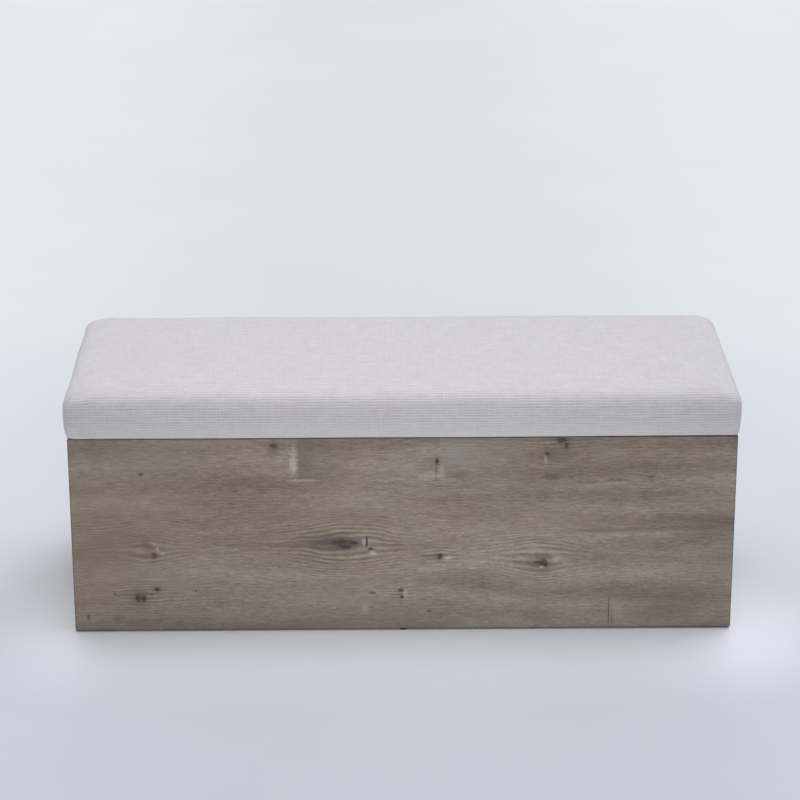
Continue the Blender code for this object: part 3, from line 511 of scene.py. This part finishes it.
def fabric_material(name):
    """Ribbed plain weave on the cover's own flat coordinates, in metres; its hem is painted paler, as
    painted light.
    """
    material, graph = new_material(name, Roughness=0.9, Sheen_Weight=0.15, Sheen_Roughness=0.5)
    cloth = graph.node("ShaderNodeAttribute", output="Vector", attribute_name=CLOTH_PLACE)
    across, down = graph.split(cloth)[:2]
    slack = graph.times(graph.centred(cloth, 45.0, 3.0), THREAD_SLACK)
    uneven = graph.centred(graph.stretched(cloth, 1.0, 0.15), 22.0, 2.0)
    across = graph.math("MULTIPLY_ADD", uneven, THREAD_DRIFT, across)
    across = graph.math("DIVIDE", graph.math("ADD", across, slack), THREAD_PITCH)
    down = graph.math("DIVIDE", graph.minus(down, slack), RIB_PITCH)
    thread_turn, rib_turn = (graph.times(count, 2 * math.pi) for count in (across, down))
    weft = graph.math("COSINE", rib_turn)
    warp = graph.math("COSINE", thread_turn)
    cross = graph.times(graph.math("SINE", thread_turn), graph.math("SINE", rib_turn))

    def yarn(stretch, index_input, layer):
        """Tone of single yarns: changes from yarn to yarn and slowly along each."""
        row = graph.math("FLOOR", graph.times(index_input, 2.0))
        along = graph.split(graph.vector("MULTIPLY", cloth, stretch))
        lengthwise = graph.math("ADD", along[0], along[1])
        return graph.noise(graph.join(lengthwise, graph.times(row, 0.37), layer), 1.0, 2.0, 0.6)

    pick = yarn((22.0, 0.0, 0.0), down, 3.0)
    end = yarn((0.0, 22.0, 0.0), across, 7.0)
    slub = graph.noise(graph.stretched(cloth, 0.14), 330.0, 3.0, 0.6)
    slub_up = graph.noise(graph.stretched(cloth, 1.0, 0.14), 330.0, 3.0, 0.6)
    fibre = graph.noise(cloth, 2600.0, 3.0, 0.7)
    height = graph.times(weft, graph.remap(slub, 0.35, 0.65, 0.15, 0.80))
    warp_share = graph.remap(slub_up, 0.35, 0.65, -0.05, 0.30)
    height = graph.math("ADD", height, graph.times(warp, warp_share))
    height = graph.math("MULTIPLY_ADD", cross, 0.18, height)
    height = graph.math("MULTIPLY_ADD", fibre, 0.50, height)

    # The colour follows the weave's height: partly the thread's tone, partly painted shade that darkens
    # its hollows.
    tone = graph.remap(height, -0.55, 1.0)
    colour = graph.ramp(tone, [(0.0, linear(191, 187, 190)), (0.45, linear(212, 209, 212)),
                               (1.0, linear(225, 222, 225))])
    colour = graph.shade(colour, graph.remap(pick, 0.30, 0.70, 0.955, 1.045))
    colour = graph.shade(colour, graph.remap(end, 0.30, 0.70, 0.965, 1.035))
    heather = graph.noise(cloth, 26.0, 6.0, 0.75)
    colour = graph.mix(graph.remap(heather, 0.40, 0.70, 0.0, 0.22), colour, linear(205, 201, 206))
    colour = graph.mix(graph.remap(heather, 0.52, 0.28, 0.0, 0.16), colour, linear(221, 219, 217))
    # Painted light: the cloth is paler low on the hem, where light from the floor falls.
    height_up = graph.split(graph.object_point())[2]
    low = graph.remap(height_up, LID_BOTTOM + PAINTED_HEM_LIGHT_HIGH, LID_BOTTOM + PAINTED_HEM_LIGHT_LOW)
    colour = graph.mix(graph.times(low, 0.50), colour, linear(222, 221, 218))
    graph.shader(Base_Color=colour, Normal=graph.bump(height, 0.00040, 0.75))
    return material


def grain_material(name, low, high, along="X", scale=120.0, roughness=0.7):
    """Plain wood or particle board, grain along one axis."""
    material, graph = new_material(name)
    stretch = {"X": (0.06, 1.0, 1.0), "Y": (1.0, 0.06, 1.0), "": (1.0, 1.0, 1.0)}[along]
    point = graph.vector("MULTIPLY", graph.object_point(), stretch)
    grain = graph.noise(point, scale, 5.0, 0.65)
    broad = graph.noise(point, scale / 9, 2.0)
    colour = graph.ramp(grain, [(0.3, low), (0.7, high)])
    colour = graph.shade(colour, graph.remap(broad, 0.3, 0.7, 0.86, 1.08))
    gloss = graph.remap(grain, 0.2, 0.8, roughness - 0.08, roughness + 0.08)
    graph.shader(Base_Color=colour, Roughness=gloss, Normal=graph.bump(grain, 0.0002, 0.6))
    return material


def lining_material(name):
    """Black non-woven felt with its pattern of pressed points."""
    material, graph = new_material(name, Roughness=0.85, Sheen_Weight=0.2)
    point = graph.object_point()
    cells = graph.node("ShaderNodeTexVoronoi", {"Vector": point, "Scale": 420.0}, output="Distance")
    felt = graph.noise(point, 900.0, 4.0, 0.7)
    broad = graph.noise(point, 14.0, 3.0)
    height = graph.math("MULTIPLY_ADD", felt, 0.6, cells)
    colour = graph.ramp(height, [(0.2, linear(26, 26, 28)), (0.9, linear(58, 58, 60))])
    colour = graph.shade(colour, graph.remap(broad, 0.3, 0.7, 0.85, 1.15))
    graph.shader(Base_Color=colour, Normal=graph.bump(height, 0.0003, 0.7))
    return material


def metal_material(name, colour, roughness, worn=0.10, scale=300.0):
    """Plated or polished metal with fine wear in its gloss and tone."""
    material, graph = new_material(name, Metallic=1.0)
    point = graph.object_point()
    mottled = graph.noise(point, scale, 4.0, 0.6)
    broad = graph.noise(point, scale / 12, 2.0)
    tone = graph.mix(graph.remap(mottled, 0.3, 0.7), colour, tuple(c * 0.82 for c in colour))
    gloss = graph.remap(broad, 0.3, 0.7, roughness - worn / 2, roughness + worn)
    graph.shader(Base_Color=tone, Roughness=gloss, Normal=graph.bump(mottled, 0.00002, 0.5))
    return material


def plastic_material(name, colour, roughness, **constants):
    """Moulded plastic, rubber or lacquer with a fine skin texture."""
    material, graph = new_material(name, **constants)
    point = graph.object_point()
    skin = graph.noise(point, SKIN_SCALE, 3.0)
    dust = graph.noise(point, SKIN_SCALE / 30, 3.0)
    dusty = tuple(min(1.0, c * 1.5 + 0.01) for c in colour)
    tone = graph.mix(graph.remap(dust, 0.45, 0.75, 0.0, 0.25), colour, dusty)
    gloss = graph.remap(dust, 0.3, 0.7, roughness - 0.06, roughness + 0.10)
    graph.shader(Base_Color=tone, Roughness=gloss, Normal=graph.bump(skin, 0.00006, 0.5))
    return material


def make_object(name, bm, material, smooth=True):
    mesh = bpy.data.meshes.new(name)
    bm.to_mesh(mesh)
    bm.free()
    if smooth:
        mesh.shade_smooth()
    piece = bpy.data.objects.new(name, mesh)
    bpy.context.scene.collection.objects.link(piece)
    mesh.materials.append(material)
    return piece


def join_rows(bm, first, second):
    """Quads between two closed rows of points, in their order."""
    afters = [*range(1, len(first)), 0]
    return [bm.faces.new((first[here], first[after], second[after], second[here]))
            for here, after in enumerate(afters)]


class CushionForm:
    """The padded lid's skin as rings of points, from the middle of the top out, down and under."""

    def __init__(self):
        self.count_x = 2 * round((HALF_X - SHOULDER_WIDTH) / CELL)
        self.count_y = 2 * round((HALF_Y - SHOULDER_WIDTH) / CELL)
        self.plan = {}
        self.side_of = {}

    def ring(self, half_x, half_y, radius, count_x, count_y):
        """Evenly spaced points and plan normals; the corners of the grid fall halfway round the arcs."""
        points = []
        by_side = ((half_x - radius, half_y, count_x), (half_y - radius, half_x, count_y)) * 2
        for side, (flat, out, count) in enumerate(by_side):
            length = 2 * flat + math.pi / 2 * radius
            turn = Matrix.Rotation(side * math.pi / 2, 2)
            for step in range(count):
                walk = -length / 2 + length * step / count
                if abs(walk) <= flat:
                    place, normal = Vector((walk, -out)), Vector((0, -1))
                else:
                    angle = (abs(walk) - flat) / radius if radius else 0.0
                    sign = math.copysign(1, walk)
                    normal = Vector((sign * math.sin(angle), -math.cos(angle)))
                    place = Vector((sign * flat, -(out - radius))) + radius * normal
                points.append((turn @ place, turn @ normal))
        return points

    def top_height(self, inset):
        level = WAIST_HEIGHT + SHOULDER_HEIGHT
        reach = HALF_Y - CROWN_FLAT - SHOULDER_WIDTH
        part_way = min(max((inset - SHOULDER_WIDTH) / reach, 0.0), 1.0)
        onset = 1 - math.exp(-CROWN_ONSET * part_way)
        return level + CROWN_RISE * math.sin(math.pi / 2 * part_way) * onset

    def side_rows(self):
        """(inset, height, corner radius) from below the shoulder to the turned-under hem."""
        rows = []
        for step in range(SHOULDER_STEPS - 1, -1, -1):
            angle = math.pi / 2 * step / SHOULDER_STEPS
            across = 1 - math.cos(angle) ** (2 / SHOULDER_POWER)
            up = math.sin(angle) ** (2 / SHOULDER_POWER)
            rows.append((WAIST_INSET + (SHOULDER_WIDTH - WAIST_INSET) * across,
                         WAIST_HEIGHT + SHOULDER_HEIGHT * up, WAIST_CORNER + SHOULDER_WIDTH * across / 2))
        for step in range(1, SIDE_STEPS + 1):
            height = WAIST_HEIGHT + (HEM_ROLL - WAIST_HEIGHT) * step / SIDE_STEPS
            drawn = 1 - math.sin(math.pi / 2 * (height - HEM_ROLL) / (WAIST_HEIGHT - HEM_ROLL))
            drawn **= DRAWN_POWER
            rows.append((WAIST_INSET + (BULGE - WAIST_INSET) * drawn, height,
                         WAIST_CORNER + (HEM_CORNER - WAIST_CORNER) * drawn))
        for step in range(1, ROLL_STEPS + 1):
            angle = math.pi / 2 * step / ROLL_STEPS
            sunk = HEM_ROLL * (1 - math.cos(angle))
            rows.append((BULGE + sunk, HEM_ROLL * (1 - math.sin(angle)), HEM_CORNER - sunk))
        for step in range(1, HEM_STEPS + 1):
            inset = BULGE + HEM_ROLL + (HEM_TURN - HEM_ROLL) * step / HEM_STEPS
            rows.append((inset, 0.0, HEM_CORNER - HEM_ROLL))
        return rows

    def pocket_rows(self):
        """The cloth's inner face over the hem, then round the lid board to the foam above it."""
        inner, side, hem_end = COVER_THICKNESS, BULGE + COVER_THICKNESS, BULGE + HEM_TURN
        places = [(hem_end, inner * 0.5), (hem_end - 0.0004, inner), (hem_end - 0.012, inner),
                  (side + 0.010, inner), (side + 0.0008, inner), (side, inner + 0.0008),
                  (side, FOAM_BOTTOM - 0.001), (side + 0.0006, FOAM_BOTTOM), (side + 0.008, FOAM_BOTTOM)]
        return [(inset, height, HEM_CORNER - HEM_ROLL) for inset, height in places]

    def grid(self, bm, height_at, outer=None):
        """A sheet of quads over the whole plan inside the shoulder; returns its outermost ring."""
        rings = []
        levels = self.count_y // 2
        for level in range(levels + 1):
            share = 1 - level / levels
            count_x, count_y = self.count_x - 2 * level, self.count_y - 2 * level
            inset = SHOULDER_WIDTH + (HALF_Y - SHOULDER_WIDTH) * (1 - share)
            half_x = (HALF_X - SHOULDER_WIDTH) * count_x / self.count_x
            half_y = (HALF_Y - SHOULDER_WIDTH) * share
            if share:
                radius = min(SHOULDER_CORNER * (1 + 1.2 * (1 - share)), 0.9 * half_y)
                places = [place for place, _ in self.ring(half_x, half_y, radius, count_x, count_y)]
            else:
                places = [Vector((half_x * (2 * step / count_x - 1), 0.0)) for step in range(count_x + 1)]
            rings.append([self.point(bm, place, height_at(inset), place) for place in places])
        for level, (outside, inside) in enumerate(zip(rings, rings[1:])):
            self.join_levels(bm, outside, inside, self.count_x - 2 * level, self.count_y - 2 * level)
        return rings[0]

    def point(self, bm, place, height, origin, length=0.0):
        made = bm.verts.new((*place, LID_BOTTOM + height))
        self.plan[made] = (origin, length)
        return made

    def cloth_place(self, vertex, side):
        """Flat coordinates of a point on one side's length of cloth, or on the top."""
        origin, length = self.plan[vertex]
        if side is None:
            return origin
        turn = Matrix.Rotation(side * math.pi / 2, 2)
        local = turn.inverted() @ origin
        edge = SHOULDER_WIDTH - (HALF_Y if side % 2 == 0 else HALF_X)
        share = min(1.0, length / (SHOULDER_WIDTH + SHOULDER_HEIGHT) * 1.4)
        return turn @ Vector((local.x, local.y + (edge - local.y) * share - length))

    def build(self):
        """The closed skin, with the cloth's own flat coordinates in an attribute."""
        bm = bmesh.new()
        above = self.grid(bm, self.top_height)
        foam_edge = self.grid(bm, lambda inset: FOAM_BOTTOM)
        start = self.ring(HALF_X - SHOULDER_WIDTH, HALF_Y - SHOULDER_WIDTH, SHOULDER_CORNER,
                          self.count_x, self.count_y)
        length = 0.0
        before = (SHOULDER_WIDTH, WAIST_HEIGHT + SHOULDER_HEIGHT)
        for inset, height, radius in self.side_rows() + self.pocket_rows():
            length += math.dist(before, (inset, height))
            before = (inset, height)
            points = self.ring(HALF_X - inset, HALF_Y - inset, radius, self.count_x, self.count_y)
            row = [self.point(bm, place, height, origin, length)
                   for (place, _), (origin, _) in zip(points, start)]
            self.bridge(bm, above, row)
            above = row
        self.bridge(bm, above, foam_edge)
        layer = bm.loops.layers.float_vector.new(CLOTH_PLACE)
        for face in bm.faces:
            for loop in face.loops:
                loop[layer] = self.cloth_place(loop.vert, self.side_of.get(face)).to_3d()
        bmesh.ops.recalc_face_normals(bm, faces=bm.faces)
        return bm

    def bridge(self, bm, above, row):
        sides = [0] * self.count_x + [1] * self.count_y + [2] * self.count_x + [3] * self.count_y
        self.side_of.update(zip(join_rows(bm, row, above), sides))

    def join_levels(self, bm, outer, inner, count_x, count_y):
        """Quads between a ring of the top's grid and the next ring in."""
        outer_start = inner_start = 0
        is_line = count_y <= 2
        inner_total = len(inner)
        for side, count in enumerate((count_x, count_y, count_x, count_y)):
            inner_count = max(count - 2, 0)
            for step in range(count):
                first = outer[outer_start + step]
                second = outer[(outer_start + step + 1) % len(outer)]
                low, high = min(max(step - 1, 0), inner_count), min(step, inner_count)
                if is_line:
                    if side == 0:
                        near, far = inner[low], inner[high]
                    elif side == 2:
                        near, far = inner[inner_total - 1 - low], inner[inner_total - 1 - high]
                    else:
                        near = far = inner[-1] if side == 1 else inner[0]
                else:
                    near = inner[(inner_start + low) % inner_total]
                    far = inner[(inner_start + high) % inner_total]
                corners = [first, second, far, near]
                unique = [v for place, v in enumerate(corners) if v not in corners[:place]]
                if len(unique) > 2:
                    bm.faces.new(unique)
            outer_start += count
            inner_start += inner_count


def height_and_inset(vertex):
    """Above the lid's underside and in from the cushion's widest line."""
    return vertex.co.z - LID_BOTTOM, min(HALF_X - abs(vertex.co.x), HALF_Y - abs(vertex.co.y))


def is_outside(vertex):
    """On the skin that shows from above: not the hem and not the pocket for the board."""
    height, inset = height_and_inset(vertex)
    is_low_side = height > HEM_ROLL * 1.5 and inset < BULGE + COVER_THICKNESS / 2
    return height > FOAM_BOTTOM + 0.003 or is_low_side


def is_hem_roll(vertex):
    height, inset = height_and_inset(vertex)
    return height < HEM_ROLL * 0.8 and inset < BULGE + HEM_ROLL


def smooth_step(value, low, high):
    share = min(1.0, max(0.0, (value - low) / (high - low)))
    return share * share * (3 - 2 * share)


def puff(piece):
    """Blow the padded skin up a little under its own cloth, held at the hem, and apply it."""
    mesh = piece.data
    rest = [vertex.co.copy() for vertex in mesh.vertices]
    normals = [vertex.normal.copy() for vertex in mesh.vertices]
    held = piece.vertex_groups.new(name="held")
    for vertex in mesh.vertices:
        if not is_outside(vertex):
            held.add([vertex.index], 1.0, "REPLACE")
        else:
            vertex.co -= normals[vertex.index] * SIM_SHRINK
    cloth = piece.modifiers.new("cloth", "CLOTH")
    settings = cloth.settings
    settings.quality = 4
    settings.mass = SIM_MASS
    settings.tension_stiffness = SIM_STIFFNESS
    settings.compression_stiffness = SIM_STIFFNESS
    settings.bending_stiffness = SIM_BENDING
    settings.use_pressure = True
    settings.uniform_pressure_force = SIM_PRESSURE
    settings.vertex_group_mass = "held"
    settings.effector_weights.gravity = 0.0
    cloth.collision_settings.use_collision = False
    scene = bpy.context.scene
    for step in range(1, SIM_FRAMES + 1):
        scene.frame_set(step)
    evaluated = piece.evaluated_get(bpy.context.evaluated_depsgraph_get())
    moved = [vertex.co.copy() for vertex in evaluated.data.vertices]
    piece.modifiers.remove(cloth)
    piece.vertex_groups.remove(held)
    scene.frame_set(1)
    for vertex, start, end in zip(mesh.vertices, rest, moved):
        shift = end - start
        if shift.length > SIM_CAP:
            shift *= SIM_CAP / shift.length
        vertex.co = start + shift


def settle(piece):
    """The slow waves of a hand-pulled cover, none at the hem, whose roll sags a little."""
    normals = [vertex.normal.copy() for vertex in piece.data.vertices]
    for vertex, normal in zip(piece.data.vertices, normals):
        if is_hem_roll(vertex):
            place = vertex.co.x / HALF_X
            loose = 1.0 - smooth_step(place, 0.35, 0.85)
            vertex.co.z -= HEM_SAG * loose * (0.85 + 0.15 * math.sin(9 * place))
        if not is_outside(vertex):
            continue
        height = vertex.co.z - LID_BOTTOM
        share = min(1.0, (height - HEM_ROLL) / WAIST_HEIGHT)
        place = Vector((vertex.co.x * 5.0, vertex.co.y * 9.0, height * 12.0))
        wave = noise.noise(place) * WAVE_HEIGHT + noise.noise(place * 3.1) * RIPPLE_HEIGHT
        vertex.co += normal * wave * share


def make_cushion(material):
    piece = make_object("padded_seat_cover", CushionForm().build(), material)
    puff(piece)
    piece.data.update()
    settle(piece)
    piece.data.update()
    subdivide = piece.modifiers.new("finer", "SUBSURF")
    subdivide.levels = 1
    subdivide.render_levels = 1
    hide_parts("seat_cover", "seat_foam")
    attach(piece, "lid")
    return piece


def make_hem_pleats(material):
    """One flat pleat at each corner of the hem, where the cloth is folded over itself."""
    bm = bmesh.new()
    for side_x, side_y in ((-1, -1), (1, -1), (1, 1), (-1, 1)):
        sideways = Vector((-side_y, side_x, 0)).normalized()
        rows = []
        for step in range(PLEAT_STEPS + 1):
            share = step / PLEAT_STEPS
            inset = PLEAT_START + (PLEAT_END - PLEAT_START) * share
            half_width = PLEAT_HALF_WIDTHS[0] + (PLEAT_HALF_WIDTHS[1] - PLEAT_HALF_WIDTHS[0]) * share
            depth = PLEAT_DEPTH * math.sin(math.pi * (0.12 + 0.80 * share))
            line = [(across, -down * depth) for across, down in PLEAT_PROFILE]
            line += [(PLEAT_PROFILE[-1][0], PLEAT_SUNK), (PLEAT_PROFILE[0][0], PLEAT_SUNK)]
            centre = Vector((side_x * (HALF_X - inset), side_y * (HALF_Y - inset), LID_BOTTOM))
            rows.append([bm.verts.new(centre + sideways * across * half_width + Vector((0, 0, up)))
                         for across, up in line])
        for inner, outer in zip(rows, rows[1:]):
            join_rows(bm, inner, outer)
        bm.faces.new(reversed(rows[0]))
        bm.faces.new(rows[-1])
    layer = bm.loops.layers.float_vector.new(CLOTH_PLACE)
    for face in bm.faces:
        for loop in face.loops:
            loop[layer] = (loop.vert.co.x, loop.vert.co.y, 0.0)
    bmesh.ops.recalc_face_normals(bm, faces=bm.faces)
    piece = make_object("hem_pleats", bm, material)
    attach(piece, "lid")


def make_floor():
    floor_bm = bmesh.new()
    bmesh.ops.create_grid(floor_bm, x_segments=8, y_segments=8, size=FLOOR_SIZE)
    material, graph = new_material("studio_floor", Roughness=0.6)
    x, y, _ = graph.split(graph.object_point())
    scuffs = graph.noise(graph.object_point(), 1.6, 6.0, 0.6)
    tones = [(place, linear(*tone)) for place, tone in FLOOR_TONES]
    # Painted shade: the floor darkens towards the front.
    colour = graph.ramp(graph.remap(y, FLOOR_FRONT, FLOOR_BACK), tones)
    colour = graph.shade(colour, graph.remap(scuffs, 0.3, 0.7, 0.98, 1.02))
    # Painted light: the floor is brighter towards its sides.
    sideways = graph.math("ABSOLUTE", x)
    colour = graph.shade(colour, graph.remap(sideways, 0.3, 1.0, FLOOR_MIDDLE_PAINTED_SHADE, FLOOR_SIDE_PAINTED_LIGHT))
    # Painted light: the floor is brighter near the box's front and sides, against the box's shadow.
    near_x = graph.minus(graph.math("ABSOLUTE", x), FRONT_HIGH.x - NEAR_MARGIN)
    near_y = graph.minus(FRONT_LOW.y - NEAR_MARGIN, y)
    near_x = graph.times(graph.math("MAXIMUM", near_x, 0.0), 1.5)
    outward = graph.vector("LENGTH", graph.join(near_x, graph.math("ABSOLUTE", near_y)), output="Value")
    near = graph.remap(outward, 0.0, NEAR_PAINTED_LIGHT_REACH, NEAR_PAINTED_LIGHT, 1.0, "SMOOTHSTEP")
    graph.shader(Base_Color=graph.shade(colour, near))
    floor = make_object("studio_floor", floor_bm, material, smooth=False)


def make_sky():
    """Soft light from all round; what the camera, gloss and glass see of it is the pale backdrop."""
    world = bpy.data.worlds.new("studio")
    bpy.context.scene.world = world
    world.use_nodes = True
    graph = Graph(world.node_tree)
    background = world.node_tree.nodes["Background"]
    sideways = graph.split(graph.node("ShaderNodeTexCoord", output="Generated"))[0]
    sideways = graph.math("ABSOLUTE", sideways)
    level = graph.remap(sideways, 0.0, 1.0, WORLD_LEVEL, WORLD_LEVEL * WORLD_SIDES)
    light_path = world.node_tree.nodes.new("ShaderNodeLightPath")
    seen = light_path.outputs["Is Camera Ray"]
    for kind in ("Is Glossy Ray", "Is Transmission Ray"):
        seen = graph.math("MAXIMUM", seen, light_path.outputs[kind])
    lit = graph.shade(WORLD_TINT, level)
    graph.feed(background.inputs["Color"], graph.mix(seen, lit, linear(*BACKDROP)))


def make_lamp(kind, place, target, energy, colour, **settings):
    light = bpy.data.lights.new(f"{kind.lower()}_lamp", kind)
    light.energy = energy
    light.color = colour
    for key, value in settings.items():
        setattr(light, key, value)
    lamp = bpy.data.objects.new(light.name, light)
    lamp.location = place
    lamp.rotation_euler = (Vector(place) - Vector(target)).to_track_quat("Z", "Y").to_euler()
    bpy.context.scene.collection.objects.link(lamp)


def make_studio():
    make_floor()
    make_sky()
    make_lamp("SUN", KEY_PLACE, (0, 0, 0), KEY_LEVEL, KEY_TINT, angle=math.radians(KEY_SPREAD))
    make_lamp("SPOT", FRONT_PLACE, FRONT_TARGET, FRONT_WATTS, FRONT_TINT,
              spot_size=math.radians(FRONT_CONE), spot_blend=1.0, shadow_soft_size=FRONT_SOFTNESS)


def make_camera():
    data = bpy.data.cameras.new("camera")
    data.lens = CAMERA_LENS
    data.sensor_width = SENSOR
    camera = bpy.data.objects.new("camera", data)
    camera.location = CAMERA_PLACE
    turn = Matrix.Rotation(math.radians(-CAMERA_YAW), 4, "Z")
    turn = turn @ Matrix.Rotation(math.radians(90 - CAMERA_PITCH), 4, "X")
    turn = turn @ Matrix.Rotation(math.radians(CAMERA_ROLL), 4, "Z")
    camera.rotation_euler = turn.to_euler()
    bpy.context.scene.collection.objects.link(camera)
    bpy.context.scene.camera = camera


def dress_boards():
    def board(name, along, across, *details, **settings):
        settings["edges"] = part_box(name)
        dress([name], oak_material(f"oak_{name}", along, across, *details, **settings))

    board("front_panel", "X", "Z", FRONT_BENDS, FRONT_MARKS, FRONT_PATCHES, seed=1.0)
    board("back_panel", "X", "Z", PLAIN_BENDS, PLAIN_MARKS, seed=21.0)
    board("left_side_panel", "Y", "Z", PLAIN_BENDS, PLAIN_MARKS, seed=41.0, shift=0.16)
    board("right_side_panel", "Y", "Z", PLAIN_BENDS, PLAIN_MARKS, seed=61.0, shift=-0.24)
    board("bottom_panel", "X", "Y", seed=81.0)
    chips = (linear(150, 122, 88), linear(196, 168, 128))
    pine = (linear(190, 152, 104), linear(226, 194, 148))
    dress(["lid_board"], grain_material("raw_board", *chips, "", 420.0, 0.8))
    dress(["front_cleat", "back_cleat"], grain_material("pine_long", *pine))
    dress(["left_cleat", "right_cleat"], grain_material("pine_short", *pine, "Y"))


def dress_fittings():
    dress(["lid_lining"], lining_material("lining_felt"))
    dress(named_nodes("leaf", "bracket"), metal_material("zinc_plate", linear(196, 196, 194), 0.32))
    dress(named_nodes("cam_"), metal_material("zinc_cast", linear(178, 178, 176), 0.42, scale=500.0))
    dress(named_nodes("_pin", "strut_rod"),
          metal_material("bright_steel", linear(214, 214, 216), 0.12, 0.06))
    dress(["left_strut_tube", "right_strut_tube"],
          plastic_material("black_lacquer", linear(26, 26, 27), 0.30, Coat_Weight=0.4))
    dress(named_nodes("socket", "glide"), plastic_material("black_nylon", linear(34, 34, 36), 0.45))
    dress(named_nodes("bumper"),
          plastic_material("clear_rubber", linear(206, 206, 200), 0.30, Transmission_Weight=0.4))


def screw_mesh(bm, place, facing, radius, dome):
    """A cross-recess screw head: a dome or flat face over a tapering shank."""
    facing = Vector(facing)
    turn = facing.to_track_quat("Z", "Y").to_matrix().to_4x4()
    frame_at = Matrix.Translation(place) @ turn @ Matrix.Rotation(place[0] * 7 + place[1] * 11, 4, "Z")
    steps = 24

    def ring(size, height, lobed=False):
        row = []
        for step in range(steps):
            angle = 2 * math.pi * step / steps
            reach = size
            if lobed:
                reach *= 0.42 + 0.58 * abs(math.cos(2 * angle)) ** 3
            point = Vector((reach * math.cos(angle), reach * math.sin(angle), height))
            row.append(bm.verts.new(frame_at @ point))
        return row

    rows = [ring(radius * 0.16, -0.45 * radius, True), ring(radius * 0.52, dome * 0.85, True),
            ring(radius * 0.58, dome * 0.80), ring(radius * 0.86, dome * 0.45),
            ring(radius * 0.98, dome * 0.10), ring(radius, -0.0001),
            ring(radius * 0.45, -SCREW_DEPTH * 0.5), ring(radius * 0.35, -SCREW_DEPTH)]
    for inner, outer in zip(rows, rows[1:]):
        for step in range(steps):
            after = (step + 1) % steps
            bm.faces.new((inner[step], outer[step], outer[after], inner[after]))
    bm.faces.new(reversed(rows[0]))
    bm.faces.new(rows[-1])


def make_screws():
    """Countersunk screws in the hinge leaves and dome-headed ones in the strut brackets."""
    screw_steel = metal_material("screw_steel", linear(188, 188, 186), 0.28, scale=800.0)
    box_set, lid_set = bmesh.new(), bmesh.new()
    for word in ("left", "middle", "right"):
        for bm, kind, facing in ((box_set, "box", 1), (lid_set, "lid", -1)):
            low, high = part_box(f"hinge_{word}_{kind}_leaf")
            level = PANEL_TOP if kind == "box" else LID_LEAF_UNDER
            for offset in (-LEAF_HOLE_PITCH, 0.0, LEAF_HOLE_PITCH):
                place = ((low.x + high.x) / 2 + offset, low.y + LEAF_HOLE_IN, level - facing * SCREW_SUNK)
                screw_mesh(bm, place, (0, 0, facing), *LEAF_SCREW)
    for word, side in (("left", -1), ("right", 1)):
        low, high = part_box(f"{word}_strut_box_bracket")
        face_x = side * (max(abs(low.x), abs(high.x)) - BRACKET_THICKNESS)
        for offset in (-1, 1):
            place = (face_x, (low.y + high.y) / 2, (low.z + high.z) / 2 + offset * BRACKET_HOLE_PITCH / 2)
            screw_mesh(box_set, place, (-side, 0, 0), *BRACKET_SCREW)
        low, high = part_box(f"{word}_strut_lid_bracket")
        plate_x = side * (min(abs(low.x), abs(high.x)) + BRACKET_WIDTH / 2 - BRACKET_THICKNESS)
        for offset in (-1, 1):
            along = (low.y + high.y) / 2 + offset * BRACKET_HOLE_PITCH / 2
            place = (plate_x, along, high.z - BRACKET_THICKNESS)
            screw_mesh(lid_set, place, (0, 0, -1), *BRACKET_SCREW)
    for name, bm, body in (("carcass_screws", box_set, "carcass"), ("lid_screws", lid_set, "lid")):
        bmesh.ops.recalc_face_normals(bm, faces=bm.faces)
        piece = make_object(name, bm, screw_steel, smooth=False)
        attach(piece, body)


def make_staples():
    """Staples through the lining's edge into the lid board, none quite in line."""
    random.seed(STAPLE_SEED)
    bm = bmesh.new()
    half_x, half_y = LINING_HIGH.x - STAPLE_INSET, (LINING_HIGH.y - LINING_LOW.y) / 2 - STAPLE_INSET
    corners = [(-half_x, -half_y), (half_x, -half_y), (half_x, half_y), (-half_x, half_y)]
    for (x0, y0), (x1, y1) in zip(corners, corners[1:] + corners[:1]):
        run = Vector((x1 - x0, y1 - y0, 0))
        count = round(run.length / STAPLE_SPACING)
        for number in range(count):
            share = (number + 0.5 + random.uniform(-0.12, 0.12)) / count
            centre = Vector((x0, y0, LINING_LOW.z)) + run * share
            tilt = Matrix.Rotation(random.uniform(-0.2, 0.2), 4, "Z")
            straight = run.to_track_quat("X", "Z").to_matrix().to_4x4()
            add_staple(bm, Matrix.Translation(centre) @ straight @ tilt)
    bmesh.ops.recalc_face_normals(bm, faces=bm.faces)
    wire = metal_material("staple_wire", linear(200, 200, 198), 0.25)
    piece = make_object("lining_staples", bm, wire, smooth=False)
    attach(piece, "lid")


def add_staple(bm, place):
    """A flat wire bent down at both ends, as a closed strip of boxes."""
    half, wire, leg, bend = STAPLE_HALF, STAPLE_WIRE, STAPLE_LEG, STAPLE_BEND
    outline = [(-half, leg), (-half, 0.0002), (-half + bend, -wire), (half - bend, -wire), (half, 0.0002),
               (half, leg), (half - wire, leg), (half - wire, 0.0003), (-half + wire, 0.0003),
               (-half + wire, leg)]
    sides = []
    for y in (-STAPLE_HALF_WIDTH, STAPLE_HALF_WIDTH):
        sides.append([bm.verts.new(place @ Vector((x, y, z))) for x, z in outline])
    join_rows(bm, *sides)
    bm.faces.new(reversed(sides[0]))
    bm.faces.new(sides[1])


make_camera()
make_studio()
dress_boards()
dress_fittings()
fabric = fabric_material("ribbed_fabric")
make_cushion(fabric)
make_hem_pleats(fabric)
make_screws()
make_staples()

bpy.context.scene.view_settings.view_transform = "Standard"
